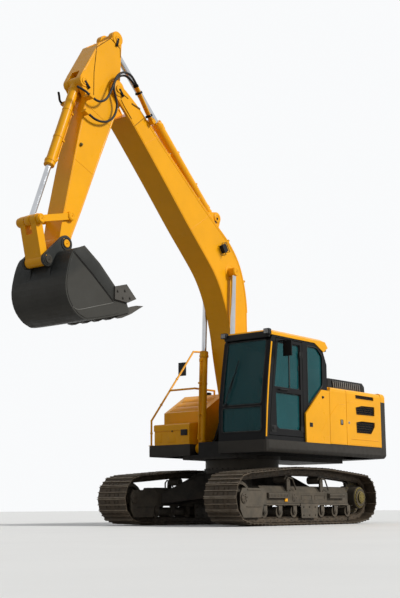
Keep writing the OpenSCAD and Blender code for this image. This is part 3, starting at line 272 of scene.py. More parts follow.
def fabric(name, colour):
    s = Shader(name, colour, 0.85, Sheen_Weight=0.3, Sheen_Roughness=0.5)
    weave = s.node("ShaderNodeTexWave", [("Vector", s.coord.outputs["Object"])], Scale=160.0, Distortion=1.5)
    s.link(s.mix(s.ramp(s.noise(12.0, 4), 0.3, 0.7), scaled(colour, 0.75), scaled(colour, 1.3)), "Base Color")
    s.bump(weave.outputs["Fac"], 0.2, 0.001)
    return s.mat


def tinted_glass(name, tint):
    s = Shader(name, tint, 0.04, Alpha=0.76, IOR=1.45, Specular_IOR_Level=0.15)
    s.link(s.mix(s.ramp(s.noise(1.6, 3), 0.3, 0.7), scaled(tint, 0.85), scaled(tint, 1.15)), "Base Color")
    s.link(s.ramp(s.noise(7.0, 4), 0.45, 0.8, 0.02, 0.08), "Roughness")
    s.bump(s.noise(2.0, 2), 0.01, 0.002)
    return s.mat


def lens_glass(name, tint):
    s = Shader(name, tint, 0.12, Transmission_Weight=0.6, IOR=1.45)
    ribs = s.node("ShaderNodeTexWave", [("Vector", s.coord.outputs["Object"])], Scale=55.0)
    s.link(s.mix(ribs.outputs["Fac"], scaled(tint, 0.75), tint), "Base Color")
    s.bump(ribs.outputs["Fac"], 0.3, 0.002)
    return s.mat


MATERIALS = {}


class EXC_OT_materials(bpy.types.Operator):
    """Makes the finishes and gives each carried-over node its own"""

    bl_idname = "excavator.materials"
    bl_label = "Finishes"

    def execute(self, context):
        p = settings("excavator_paint")
        MATERIALS.update(
            yellow=gloss_paint("yellow_gloss_paint", tuple(p.yellow)),
            dark=dusty_paint("dark_grey_paint", tuple(p.dark), p.dust * 0.5),
            under=dusty_paint("track_frame_paint", tuple(p.under), p.dust),
            drive=dusty_paint("final_drive_paint", (0.165, 0.130, 0.030), p.dust),
            black=gloss_paint("cab_black_paint", tuple(p.black), 0.36, (0.03, 0.027, 0.023), 0.08),
            # Dark brownish yellow that paints the shade along the ribs and slot of the boom's nose and along the ribs
            # of the arm's head
            groove=gloss_paint("shadow_groove", (0.16, 0.070, 0.004), 0.5, (0.03, 0.02, 0.01), 0.08),
            bucket=dusty_paint("bucket_grey_paint", tuple(p.bucket), 0.0, 0.42),
            weld=dusty_paint("fresh_weld", (0.16, 0.16, 0.15), 0.0, 0.45),
            track=track_steel("track_shoe_steel", (0.030, 0.023, 0.015)),
            worn=track_steel("worn_shoe_steel", (0.62, 0.52, 0.40)),
            steel=bare_steel("pin_steel", (0.30, 0.29, 0.28), 0.42),
            cast=dusty_paint("cast_grey", (0.045, 0.041, 0.034), p.dust),
            tooth=dusty_paint("tooth_steel", (0.058, 0.056, 0.052), 0.0, 0.38),
            chrome=chrome("rod_chrome"),
            blade=dusty_paint("louvre_grey", (0.26, 0.26, 0.255), 0.0, 0.4),
            plastic=moulded("black_moulded_plastic", (0.010, 0.010, 0.010)),
            rubber=rubber("hose_rubber", (0.008, 0.008, 0.008)),
            seal=rubber("window_seal", (0.005, 0.005, 0.005)),
            fabric=fabric("seat_cloth", (0.016, 0.017, 0.019)),
            glass=tinted_glass("teal_tinted_glass", (0.010, 0.085, 0.095)),
            lens=lens_glass("lamp_lens", (0.90, 0.91, 0.90)),
            red=lens_glass("red_lens", (0.55, 0.02, 0.015)),
            amber=lens_glass("amber_lens", (0.90, 0.42, 0.02)),
            mirror=chrome("mirror_face"),
            exhaust=bare_steel("exhaust_steel", (0.20, 0.18, 0.16), 0.5),
        )
        for node, finish in NODE_FINISH.items():
            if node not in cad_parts:
                raise RuntimeError(f"no node {node}")
            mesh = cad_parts[node].data
            mesh.materials.clear()
            mesh.materials.append(MATERIALS[finish])
        return {"FINISHED"}


NODE_FINISH = {
    "car_body": "dark", "slew_ring": "cast", "track_frames": "under", "track_left": "track", "track_right": "track",
    "idlers": "cast", "final_drives": "cast", "bottom_rollers": "cast", "carrier_rollers": "cast",
    "main_frame": "dark", "counterweight": "dark", "cab_shell": "black", "cab_glass": "glass", "cab_roof": "yellow",
    "seat": "fabric", "console": "plastic", "engine": "cast", "side_panels": "yellow", "top_deck": "yellow",
    "louvre_box": "plastic", "tanks": "yellow", "toolbox": "yellow", "handrails": "yellow", "mirrors": "plastic",
    "lamps": "plastic", "exhaust": "exhaust", "cab_door": "black", "cab_door_glass": "glass", "left_door": "yellow",
    "rear_left_door": "yellow", "right_door": "yellow", "engine_hood": "yellow", "toolbox_lid": "yellow",
    "boom": "yellow", "boom_pipes": "yellow", "boom_lamp": "plastic", "boom_barrels": "yellow",
    "boom_rods": "chrome", "arm": "yellow", "arm_pipes": "yellow", "arm_barrel": "yellow", "arm_rod": "chrome",
    "bucket_barrel": "yellow", "bucket_rod": "chrome", "rocker_arms": "yellow", "bucket_link": "yellow",
    "bucket": "bucket", "bucket_teeth": "tooth", "arm_hoses": "rubber",
}


# ---------------------------------------------------------------- making solids


class Builder:
    """Gathers small solids into one mesh, in metres in the machine's frame."""

    def __init__(self):
        self.bm = bmesh.new()

    def solid(self, verts, faces, bevel=0.0):
        """Adds one closed solid, with its sharp edges rounded."""
        part = bmesh.new()
        vs = [part.verts.new(v) for v in verts]
        for f in faces:
            part.faces.new([vs[i] for i in f])
        bmesh.ops.recalc_face_normals(part, faces=part.faces)
        if bevel:
            sharp = [e for e in part.edges if e.is_manifold and e.calc_face_angle(0) > 0.5]
            bmesh.ops.bevel(part, geom=sharp, offset=bevel, segments=2, affect="EDGES", profile=0.6,
                            clamp_overlap=True)
        mesh = bpy.data.meshes.new("part")
        part.to_mesh(mesh)
        part.free()
        self.bm.from_mesh(mesh)
        bpy.data.meshes.remove(mesh)

    def prism(self, outline, low, high, axis="Y", bevel=0.0, place=None):
        """Outline drawn out from low to high along an axis; place is a matrix for the result."""
        put = {"X": lambda a, b, t: (t, a, b), "Y": lambda a, b, t: (a, t, b), "Z": lambda a, b, t: (a, b, t)}[axis]
        n = len(outline)
        verts = [put(a, b, t) for t in (low, high) for a, b in outline]
        if place:
            verts = [place @ Vector(v) for v in verts]
        faces = [tuple(range(n)), tuple(range(2 * n - 1, n - 1, -1))]
        faces += [(i, i + n, (i + 1) % n + n, (i + 1) % n) for i in range(n)]
        self.solid(verts, faces, bevel)

    def box(self, low, high, bevel=0.004, place=None):
        """Box with rounded edges between two corners."""
        (x0, y0, z0), (x1, y1, z1) = low, high
        self.prism([(x0, z0), (x1, z0), (x1, z1), (x0, z1)], y0, y1, "Y", bevel, place)

    def lathe(self, profile, start, end, n=24, ring=False):
        """Profile of (distance from start towards end, radius), turned round that line.

        A ring's profile is closed and leaves the middle open.
        """
        a, b = Vector(start), Vector(end)
        z = (b - a).normalized()
        x = z.orthogonal().normalized()
        y = z.cross(x)
        rings = []
        for t, r in profile:
            r = max(r, 0.0002)
            rings.append([a + z * t + (x * math.cos(k * math.tau / n) + y * math.sin(k * math.tau / n)) * r
                          for k in range(n)])
        verts = [v for turn in rings for v in turn]
        count = len(rings)
        faces = [] if ring else [tuple(range(n)), tuple(range(len(verts) - 1, len(verts) - n - 1, -1))]
        for i in range(count if ring else count - 1):
            j = (i + 1) % count
            faces += [(i * n + k, j * n + k, j * n + (k + 1) % n, i * n + (k + 1) % n) for k in range(n)]
        self.solid(verts, faces)

    def cylinder(self, start, end, r, n=20, chamfer=0.003):
        """Rod with chamfered ends."""
        length = (Vector(end) - Vector(start)).length
        c = min(chamfer, r * 0.4, length * 0.4)
        self.lathe([(0, r - c), (c, r), (length - c, r), (length, r - c)], start, end, n)

    def tube(self, points, r, n=10):
        """Round bar or pipe along points."""
        pts = [Vector(p) for p in points]
        if len(pts) < 2:
            raise RuntimeError("a tube needs two points")
        side = (pts[1] - pts[0]).orthogonal().normalized()
        rings = []
        for i, p in enumerate(pts):
            d = (pts[min(i + 1, len(pts) - 1)] - pts[max(i - 1, 0)]).normalized()
            side = (side - d * side.dot(d)).normalized()
            other = d.cross(side)
            rings.append([p + (side * math.cos(k * math.tau / n) + other * math.sin(k * math.tau / n)) * r
                          for k in range(n)])
        verts = [v for turn in rings for v in turn]
        faces = [tuple(range(n)), tuple(range(len(verts) - 1, len(verts) - n - 1, -1))]
        for i in range(len(rings) - 1):
            j = i + 1
            faces += [(i * n + k, j * n + k, j * n + (k + 1) % n, i * n + (k + 1) % n) for k in range(n)]
        self.solid(verts, faces)

    def button(self, at, out, r, shoulder, top_r, height, n=20):
        """Low round cap on a face: straight up to its shoulder, then drawn in to its top."""
        self.lathe([(0, r), (shoulder, r), (height, top_r), (height, 0)], at, at + out, n)

    def bolt(self, at, out, r=0.012, h=0.010):
        """Hexagon bolt head on a washer, standing on a face."""
        a, d = Vector(at), Vector(out).normalized()
        self.cylinder(a - d * 0.001, a + d * 0.003, r * 1.45, 14, 0.0008)
        self.lathe([(0, r), (h - 0.002, r), (h, r * 0.86)], a + d * 0.003, a + d * (0.003 + h), 6)

    def ring_of_bolts(self, centre, out, radius, count, r=0.010, h=0.009, phase=0.0):
        c, d = Vector(centre), Vector(out).normalized()
        x = d.orthogonal().normalized()
        y = d.cross(x)
        for k in range(count):
            a = phase + k * math.tau / count
            self.bolt(c + (x * math.cos(a) + y * math.sin(a)) * radius, d, r, h)

    def bead(self, points, r=0.006):
        """Weld bead along points."""
        self.tube(points, r, 6)

    def done(self, name, finish, body, slot=None):
        """Makes the piece, gives it its finish, and lets it ride on its body."""
        if not self.bm.faces:
            raise RuntimeError(f"{name} has no faces")
        mesh = bpy.data.meshes.new(name)
        self.bm.to_mesh(mesh)
        self.bm.free()
        mesh.shade_smooth()
        mesh.set_sharp_from_angle(angle=math.radians(35))
        mesh.materials.append(MATERIALS[finish])
        obj = bpy.data.objects.new(name, mesh)
        bpy.context.scene.collection.objects.link(obj)
        if body:
            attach(obj, body)
        return obj


def smooth(points, steps=6):
    """Points on a smooth curve through the given ones."""
    p = [Vector(q) for q in points]
    out = []
    for i in range(len(p) - 1):
        a, b, c, d = p[max(i - 1, 0)], p[i], p[i + 1], p[min(i + 2, len(p) - 1)]
        for j in range(steps):
            t = j / steps
            out.append(0.5 * (2 * b + (c - a) * t + (2 * a - 5 * b + 4 * c - d) * t ** 2
                              + (3 * b - a - 3 * c + d) * t ** 3))
    out.append(p[-1])
    return out


# ---------------------------------------------------------------- the machine's own frames, in metres


def turned(p, degrees):
    """A point turned about the origin of its side view."""
    a = math.radians(degrees)
    return (p[0] * math.cos(a) - p[1] * math.sin(a), p[0] * math.sin(a) + p[1] * math.cos(a))


# Pins of the house, as x and z, and the angles and lengths of the linkage in the photograph's pose
FOOT, CYLINDER_FOOT = (0.100, 1.800), (0.720, 1.250)
BOOM_DEG, ARM_DEG, BUCKET_DEG = 55.7, 124.0, 82.2
BOOM_LEN, ARM_LEN = 5.850, 2.850
# Half widths of boom, arm and bucket
BOOM_HALF, ARM_HALF, BUCKET_HALF = 0.220, 0.170, 0.550
# Pins on the boom, the arm and the bucket, as u and v in each one's own frame
BOOM_EYE, ARM_CYLINDER_BASE = (2.253, 0.955), (3.150, 1.280)
ARM_ROD_EYE, BUCKET_CYLINDER_BASE = (-0.800, 0.290), (0.320, 0.620)
ROCKER_FOOT, ROCKER_TOP = (2.410, 0.060), (2.776, 0.556)
BUCKET_EAR = turned((0.396, 0.215), BUCKET_DEG)
BOOM_CYLINDER_Y = 0.300
# Undercarriage: gauge, wheel centres as x and z, and half widths of a track frame and of its yokes
GAUGE, FRAME_HALF, YOKE_HALF = 2.200, 0.150, 0.175
IDLER, SPROCKET = (1.685, 0.420), (-1.685, 0.440)
ROLLER_X, ROLLER_STEP, ROLLER_Z, ROLLERS = 1.100, 0.410, 0.212, 7
CARRIER_XS, CARRIER_Z = (0.450, -0.520), 0.716
SHOE_PITCH = 0.190
# Upper structure: half width, top of the engine bay, radius of the tail, and the cab's two sides
HOUSE_HALF, BAY_TOP, TAIL_R = 1.330, 2.285, 2.9115
CAB_INNER, CAB_SIDE = 0.380, 1.300
SIDES = ((1, "left"), (-1, "right"))
REAR_DOORS = ((1, "rear_left_door", "left"), (-1, "right_door", "right"))


def frame_matrix(origin, degrees):
    """Turns points drawn as (u, y, v) into the machine's frame."""
    return Matrix.Translation((origin[0], 0, origin[1])) @ Matrix.Rotation(-math.radians(degrees), 4, "Y")


TIP = tuple(f + t for f, t in zip(FOOT, turned((BOOM_LEN, 0), BOOM_DEG)))
ARM_WORLD = BOOM_DEG - ARM_DEG
BUCKET_PIN = tuple(f + t for f, t in zip(TIP, turned((ARM_LEN, 0), ARM_WORLD)))
BOOM_FRAME = frame_matrix(FOOT, BOOM_DEG)
ARM_FRAME = frame_matrix(TIP, ARM_WORLD)
BUCKET_FRAME = frame_matrix(BUCKET_PIN, ARM_WORLD - BUCKET_DEG)


def in_frame(m, u, y, v):
    return m @ Vector((u, y, v))


def pin_of(m, place):
    """x and z of a pin that is given as u and v in the frame m."""
    q = in_frame(m, place[0], 0, place[1])
    return q.x, q.z


def sideways(side):
    """Unit vector to the left (1) or the right (-1)."""
    return Vector((0, side, 0))


def stand(x_way, y_way, z_way, at):
    """Matrix that puts a shape drawn at the origin at a place, with its axes along the given ways."""
    m = Matrix((x_way, y_way, z_way)).transposed().to_4x4()
    m.translation = at
    return m


# Belt of the track: rounds of x, z and radius of the shoes' seating line
ROUNDS = [(-1.360, 0.212, 0.178), (1.100, 0.212, 0.178), (1.685, 0.420, 0.361), (0.450, 0.716, 0.165),
          (-0.520, 0.716, 0.165), (-1.685, 0.440, 0.361)]


def belt_joints():
    """Joints between the shoes, and each shoe's direction."""
    n = len(ROUNDS)

    def span(i):
        (x0, z0, r0), (x1, z1, r1) = ROUNDS[i], ROUNDS[(i + 1) % n]
        d = math.hypot(x1 - x0, z1 - z0)
        return math.atan2(z1 - z0, x1 - x0) + math.asin((r0 - r1) / d), math.sqrt(d * d - (r0 - r1) ** 2)

    starts, at = [], 0.0
    for i in range(n):
        bend = (span(i)[0] - span(i - 1)[0]) % math.tau
        starts.append((at, bend))
        at += bend * ROUNDS[i][2] + span(i)[1]
    count = round(at / SHOE_PITCH)

    def point(s):
        i = max(k for k in range(n) if starts[k][0] <= s)
        x, z, r = ROUNDS[i]
        t, before = s - starts[i][0], span(i - 1)[0]
        if t < starts[i][1] * r:
            a = before + t / r
            return Vector((x + r * math.sin(a), 0, z - r * math.cos(a)))
        a = span(i)[0]
        t -= starts[i][1] * r
        return Vector((x + r * math.sin(a) + t * math.cos(a), 0, z - r * math.cos(a) + t * math.sin(a)))

    return [point(k * at / count) for k in range(count)]


# ---------------------------------------------------------------- hoses, which come first


# Centre lines of the hoses over the arm's pivot, as (x, z)
HOSE_START = [(2.681, 6.324), (2.704, 6.344), (2.915, 6.610), (3.053, 6.794)]
HOSE_A = HOSE_START + [(3.170, 6.900), (3.290, 6.915), (3.400, 6.880), (3.500, 6.790), (3.570, 6.650), (3.630, 6.520),
                       (3.720, 6.370), (3.830, 6.290), (3.930, 6.272), (4.016, 6.293)]
HOSE_B = HOSE_START + [(3.180, 6.870), (3.290, 6.880), (3.400, 6.830), (3.500, 6.720), (3.520, 6.600), (3.480, 6.470),
                       (3.450, 6.350), (3.480, 6.220), (3.550, 6.110), (3.660, 6.030), (3.800, 5.990), (3.940, 5.995),
                       (4.064, 6.037)]
HOSE_R, OUTER_Y, INNER_Y = 0.018, 0.288, 0.246


class EXC_OT_hoses(bpy.types.Operator):
    """Lays the four hoses over the arm's pivot"""

    bl_idname = "excavator.hoses"
    bl_label = "Hoses"

    def execute(self, context):
        for points, y, word in ((HOSE_A, OUTER_Y, "outer"), (HOSE_B, INNER_Y, "inner")):
            for s, side in SIDES:
                path = smooth([(x, s * y, z) for x, z in points], 6)
                b = Builder()
                b.tube(path, HOSE_R, 14)
                obj = b.done(f"hose_{word}_{side}", "rubber", None)
                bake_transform(obj)
                if word == "outer" and s > 0:
                    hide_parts("arm_hoses")
        return {"FINISHED"}


# ---------------------------------------------------------------- undercarriage


# Ridges of a shoe, as places along it and heights, rows of its bolts, and half its width
RIDGES = ((0.034, 0.032), (0.500, 0.034), (0.966, 0.032))
SHOE_BOLT_ROWS = (-0.135, -0.055, 0.055, 0.135)
SHOE_HALF = 0.298
LINK_DROP, LINK_R, LINK_Y = 0.046, 0.033, 0.110


class EXC_OT_tracks(bpy.types.Operator):
    """Adds shoe bolts, link plates and track pins to both tracks"""

    bl_idname = "excavator.tracks"
    bl_label = "Track links"

    def execute(self, context):
        p = settings("excavator_trim")
        joints = belt_joints()
        n = len(joints)
        for side, word in SIDES:
            mid = side * GAUGE / 2
            bolts, links, lips = Builder(), Builder(), Builder()
            for k in range(n):
                a, b = joints[k], joints[(k + 1) % n]
                d = (b - a).normalized()
                out = Vector((d.z, 0, -d.x))
                for u in (0.29, 0.71):
                    at = a + (b - a) * u + out * 0.012
                    for y in SHOE_BOLT_ROWS:
                        bolts.bolt(at + Vector((0, mid + y, 0)), out, p.shoe_bolt, 0.009)
                # Ridges rubbed bright at the shoe's two ends and in its middle
                for u, h in RIDGES:
                    self.bar(lips, a + (b - a) * u, d, out, 0.005, h - 0.004, h + 0.0004, mid, SHOE_HALF + 0.0005)
                # Each shoe's lip reaches over the gap to the next one
                way = (d + (a - joints[k - 1]).normalized()).normalized()
                self.bar(lips, a, way, Vector((way.z, 0, -way.x)), 0.013, 0.001, 0.009, mid, SHOE_HALF)
                start, end = a - out * LINK_DROP, b - out * LINK_DROP
                for s in (-1, 1):
                    # Every other plate stands a little further out, so that their faces don't fall together
                    y = mid + s * (LINK_Y if k % 2 else LINK_Y + 0.0002)
                    links.prism(self.link(start, end, LINK_R), min(y, y + s * 0.006), max(y, y + s * 0.006))
                    links.cylinder(start + sideways(y), start + sideways(y + s * 0.010), 0.019, 12)
            bolts.done(f"track_bolts_{word}", "track", "undercarriage", "track_steel")
            lips.done(f"track_lips_{word}", "worn", "undercarriage", "track_steel")
            links.done(f"track_links_{word}", "track", "undercarriage", "track_steel")
        return {"FINISHED"}

    def bar(self, b, at, way, up, half, low, high, mid, half_width):
        """Flat bar across a shoe, between two heights above its seating line."""
        quad = [at + way * t + up * h for t, h in ((-half, low), (half, low), (half, high), (-half, high))]
        b.prism([(q.x, q.z) for q in quad], mid - half_width, mid + half_width)

    def link(self, a, b, r):
        """Outline of a link plate, wider at its ends than in its middle."""
        d = (b - a).normalized()
        up = Vector((-d.z, 0, d.x))
        pts = []
        for c, way in ((b, 1), (a, -1)):
            for k in range(7):
                t = math.radians(-78 + 26 * k)
                pts.append(c + d * way * math.cos(t) * r * 0.9 + up * way * math.sin(t) * r)
            pts.append((a + b) / 2 + up * way * r * 0.62)
        return [(q.x, q.z) for q in pts]


class EXC_OT_undercarriage(bpy.types.Operator):
    """Adds covers, bolts, step treads, seams and reflectors to frames and final drives"""

    bl_idname = "excavator.undercarriage"
    bl_label = "Undercarriage trim"

    def execute(self, context):
        p = settings("excavator_trim")
        for side, word in SIDES:
            mid, out = side * GAUGE / 2, sideways(side)
            self.final_drive(word, Vector((SPROCKET[0], mid, SPROCKET[1])), out, p.bolt)
            self.wheels_and_guards(word, side, mid, out)
            self.steps_and_seams(word, side, mid)
        self.car_body()
        return {"FINISHED"}

    def final_drive(self, word, c, out, bolt):
        """Cover with rim bolts, and a hub plate on it."""
        b = Builder()
        b.lathe([(0, 0.172), (0.012, 0.172), (0.016, 0.165), (0.016, 0.120), (0.030, 0.112), (0.034, 0.0)],
                c + out * 0.170, c + out * 0.270, 40)
        b.lathe([(0, 0.093), (0.006, 0.093), (0.010, 0.086), (0.010, 0.04), (0.014, 0.036), (0.014, 0)],
                c + out * 0.2195, c + out * 0.3, 32)
        b.ring_of_bolts(c + out * 0.186, out, 0.150, 16, bolt, 0.010)
        b.ring_of_bolts(c + out * 0.2295, out, 0.066, 8, 0.008, 0.007)
        b.ring_of_bolts(c + out * 0.025, out, 0.235, 20, 0.011, 0.010)
        b.done(f"drive_cover_{word}", "drive", "undercarriage", "dark_paint")

    def wheels_and_guards(self, word, side, mid, out):
        b = Builder()
        # Idler: hub caps on the yokes, and the yokes' ribs
        c = Vector((IDLER[0], mid, IDLER[1]))
        for s in (1, -1):
            w, face = sideways(s), mid + s * YOKE_HALF
            b.lathe([(0, 0.078), (0.014, 0.078), (0.018, 0.072), (0.018, 0.03), (0.010, 0.028), (0.010, 0)],
                    c + w * YOKE_HALF, c + w * 0.3, 28)
            b.ring_of_bolts(c + w * 0.192, w, 0.056, 6, 0.008, 0.007)
            b.box((1.25, face - 0.004, 0.285), (1.62, face + 0.008, 0.305), 0.003)
            b.box((1.25, face - 0.004, 0.535), (1.60, face + 0.008, 0.555), 0.003)
        # Bottom rollers: end caps, left out behind the guard, and two bolts a side
        for i in range(ROLLERS):
            x = ROLLER_X - ROLLER_STEP * i
            for s in (1, -1):
                at = Vector((x, mid + s * FRAME_HALF, ROLLER_Z))
                if not -0.33 < x < 0.13:
                    b.button(at, sideways(s), 0.030, 0.007, 0.024, 0.010)
                for dx in (-0.085, 0.085):
                    b.bolt((x + dx, mid + s * 0.156, 0.312), (0, 0, -1), 0.013, 0.012)
        # Carrier rollers: shaft caps and bracket bolts
        for x in CARRIER_XS:
            b.button(Vector((x, mid, CARRIER_Z)) + out * 0.145, out, 0.030, 0.006, 0.022, 0.010)
            for dx in (-0.04, 0.04):
                b.bolt((x + dx, mid + side * 0.145, 0.545), out, 0.010)
        # Bent guards of the carrier rollers
        y = mid + side * 0.165
        for x in CARRIER_XS:
            b.tube([(x + 0.075, y, 0.560), (x + 0.075, y, 0.700), (x + 0.030, y, 0.745), (x - 0.080, y, 0.725),
                    (x - 0.180, y, 0.555)], 0.013, 8)
        # Bolts of the roller guards
        for x in (-0.27, -0.10, 0.07):
            for s in (1, -1):
                for z in (0.155, 0.285):
                    b.bolt((x, mid + s * 0.177, z), (0, s, 0), 0.012)
        # Cover of the track tensioner, and the rims of two mud holes
        at = Vector((0.30, mid, 0.430)) + out * FRAME_HALF
        b.button(at, out, 0.062, 0.006, 0.056, 0.008, 28)
        b.ring_of_bolts(at + out * 0.008, out, 0.047, 4, 0.007, 0.006, 0.78)
        y = mid + side * (FRAME_HALF + 0.001)
        for x0, x1 in ((-0.60, -0.30), (-0.20, 0.10)):
            rim = ((x0, 0.40), (x1, 0.40), (x1, 0.47), (x0, 0.47), (x0, 0.40))
            b.bead([(x, y, z) for x, z in rim], 0.005)
        b.done(f"frame_trim_{word}", "cast", "undercarriage", "dark_paint")

    def steps_and_seams(self, word, side, mid):
        treads = Builder()
        y0, y1 = sorted((mid + side * 0.202, mid + side * 0.202 + side * 0.006))
        for x0, x1 in ((0.55, 1.07), (-1.17, -0.69)):
            for k in range(13):
                x = x0 + 0.02 + k * (x1 - x0 - 0.04) / 12
                treads.box((x - 0.008, y0, 0.440), (x + 0.008, y1, 0.482), 0.002)
        treads.done(f"step_treads_{word}", "cast", "undercarriage", "dark_paint")
        # Weld seams along the frame, and where the car body's legs meet it
        seams = Builder()
        for s in (1, -1):
            seams.bead([(x / 10, mid + s * 0.1505, 0.342) for x in range(-13, 12)], 0.005)
            seams.bead([(x / 10, mid + s * 0.076, 0.609) for x in range(-13, 12)], 0.006)
        y = side * 0.948
        corners = ((0.565, 0.355), (0.565, 0.500), (0.99, 0.500), (0.99, 0.355))
        for s in (1, -1):
            seams.bead([(s * x, y, z) for x, z in corners], 0.007)
        seams.done(f"frame_seams_{word}", "dark", "undercarriage", "dark_paint")
        marker = Builder()
        y0, y1 = sorted((mid + side * 0.1495, mid + side * 0.162))
        marker.box((0.500, y0, 0.368), (0.580, y1, 0.415), 0.006)
        marker.done(f"frame_marker_{word}", "yellow", "undercarriage", "yellow_paint")

    def car_body(self):
        """Bolted ring under the house, and the covers below the car body."""
        b = Builder()
        b.lathe([(0, 0.62), (0.010, 0.62), (0.014, 0.612), (0.014, 0.55), (0.010, 0.54)], (0, 0, 0.9), (0, 0, 1), 64)
        b.ring_of_bolts((0, 0, 0.905), (0, 0, 1), 0.632, 36, 0.011, 0.014)
        down = Vector((0, 0, -1))
        b.button(Vector((0, 0, 0.430)), down, 0.20, 0.012, 0.19, 0.016, 40)
        b.ring_of_bolts((0, 0, 0.415), down, 0.17, 10, 0.011)
        for s in (1, -1):
            y0, y1 = sorted((s * 0.22, s * 0.50))
            b.box((-0.36, y0, 0.418), (0.36, y1, 0.430), 0.003)
            for x in (-0.31, 0.31):
                for y in (0.26, 0.46):
                    b.bolt((x, s * y, 0.418), down, 0.012)
        b.done("car_body_covers", "dark", "undercarriage", "dark_paint")


# ---------------------------------------------------------------- pins and cylinders


def pin_end(b, centre, side, y, r=0.062, keeper=None, bars=None):
    """Collar, cap and grease nipple at the end of a pin that comes out at y, with a keeper bar turned by an angle."""
    w = sideways(side)
    c = Vector((centre[0], side * y, centre[1]))
    b.lathe([(0, r), (0.008, r), (0.012, r - 0.004), (0.012, r * 0.62), (0.009, r * 0.58), (0.009, 0)], c, c + w, 28)
    b.lathe([(0, 0.007), (0.008, 0.007), (0.010, 0.004), (0.018, 0.004), (0.019, 0)], c + w * 0.009, c + w, 8)
    if keeper:
        a = math.radians(keeper)
        d = Vector((math.cos(a), 0, math.sin(a)))
        t = Vector((-d.z, 0, d.x)) * 0.022
        pts = [c + t, c - t, c - t + d * 0.14, c + t + d * 0.14]
        y0, y1 = sorted((side * y, side * (y + 0.014)))
        bars.prism([(q.x, q.z) for q in pts], y0, y1, "Y", 0.003)
        bars.bolt(c + d * 0.118 + w * 0.014, w, 0.011)


def band(r, wide, proud, rise, fall):
    """Closed profile of a band round a barrel of radius r, whose edges slope over the lengths rise and fall."""
    return [(0, r - 0.002), (0, r + 0.001), (rise, r + proud), (wide - fall, r + proud), (wide, r + 0.001),
            (wide, r - 0.002)]


def cylinder_trim(name, base, eye, length, r, rod_r, y, body, pipe_side):
    """Head ring, gland, bands, ports and a pipe along a barrel, drawn from its base pin towards the rod's eye."""
    a, b = Vector((base[0], y, base[1])), Vector((eye[0], y, eye[1]))
    d = (b - a).normalized()
    up = Vector((-d.z, 0, d.x)) * pipe_side
    left = sideways(1)
    trim = Builder()
    trim.lathe([(0, r + 0.006), (0, r + 0.0085), (0.004, r + 0.014), (0.034, r + 0.014), (0.038, r + 0.0085),
                (0.038, r + 0.006)], a + d * (length - 0.09), b, 36, True)
    trim.lathe([(0, r - 0.002), (0, r + 0.0085), (0.010, r + 0.0055), (0.012, r - 0.014), (0.010, rod_r + 0.016),
                (0.022, rod_r + 0.012), (0.024, rod_r + 0.001), (0.004, rod_r + 0.001)],
               a + d * (length - 0.006), b, 36, True)
    trim.ring_of_bolts(a + d * (length + 0.004), d, r - 0.006, 10, 0.006, 0.008)
    trim.lathe(band(r, 0.024, 0.006, 0.003, 0.004), a + d * (r + 0.045), b, 36, True)
    # Port blocks, and the pipe between them
    ports = (r + 0.10, length - 0.14)
    for at in ports:
        c = a + d * at + up * (r - 0.002)
        trim.box((-0.024, -0.024, 0), (0.024, 0.024, 0.036), 0.004, stand(d, left, up, c))
        for s in (-1, 1):
            trim.bolt(c + left * s * 0.024 + up * 0.018, left * s, 0.006, 0.005)
    pipe = ((ports[0], 0.034), (r + 0.14, 0.040), (r + 0.20, 0.030), (length - 0.24, 0.030), (length - 0.18, 0.040),
            (ports[1], 0.034))
    trim.tube(smooth([a + d * at + up * (r + off) for at, off in pipe], 5), 0.013, 12)
    # Bands that hold the pipe
    for at in (0.33, 0.66):
        c = a + d * (length * at)
        trim.lathe(band(r, 0.028, 0.005, 0.002, 0.002), c, b, 32, True)
        trim.box((-0.014, -0.026, r + 0.002), (0.014, 0.026, r + 0.048), 0.004, stand(d, left, up, c + d * 0.014))
    trim.done(name, "yellow", body, "yellow_paint")


class EXC_OT_cylinders(bpy.types.Operator):
    """Adds heads, ports and pipes to the cylinders"""

    bl_idname = "excavator.cylinders"
    bl_label = "Cylinder fittings"

    def execute(self, context):
        for s, word in SIDES:
            cylinder_trim(f"boom_cylinder_fittings_{word}", CYLINDER_FOOT, pin_of(BOOM_FRAME, BOOM_EYE), 1.630, 0.066,
                          0.042, s * BOOM_CYLINDER_Y, "boom_barrels", -1)
        cylinder_trim("arm_cylinder_fittings", pin_of(BOOM_FRAME, ARM_CYLINDER_BASE), pin_of(ARM_FRAME, ARM_ROD_EYE),
                      1.950, 0.082, 0.050, 0, "arm_barrel", 1)
        cylinder_trim("bucket_cylinder_fittings", pin_of(ARM_FRAME, BUCKET_CYLINDER_BASE),
                      pin_of(ARM_FRAME, ROCKER_TOP), 1.500, 0.072, 0.042, 0, "bucket_barrel", -1)
        return {"FINISHED"}


# ---------------------------------------------------------------- upper structure


def strip(b, points, y, width, thick, bevel=0.002):
    """Flat strip along points in x and z, standing proud of a side face at y."""
    pts = [Vector((x, 0, z)) for x, z in points]
    left, right = [], []
    for i, p in enumerate(pts):
        d = (pts[min(i + 1, len(pts) - 1)] - pts[max(i - 1, 0)]).normalized()
        n = Vector((-d.z, 0, d.x)) * width / 2
        left.append((p.x + n.x, p.z + n.z))
        right.append((p.x - n.x, p.z - n.z))
    b.prism(left + right[::-1], min(y, y + thick), max(y, y + thick), "Y", bevel)


def loop(b, points, r, corner=0.03, n=8):
    """Closed bead along points, with its corners rounded."""
    pts = [Vector(p) for p in points]
    line = []
    for i, p in enumerate(pts):
        before, after = pts[i - 1], pts[(i + 1) % len(pts)]
        c = min(corner, (before - p).length * 0.4, (after - p).length * 0.4)
        a, z = p + (before - p).normalized() * c, p + (after - p).normalized() * c
        line += [a * (1 - t) ** 2 + p * 2 * t * (1 - t) + z * t * t for t in (0, 0.25, 0.5, 0.75, 1)]
    b.tube(line + line[:2], r, n)


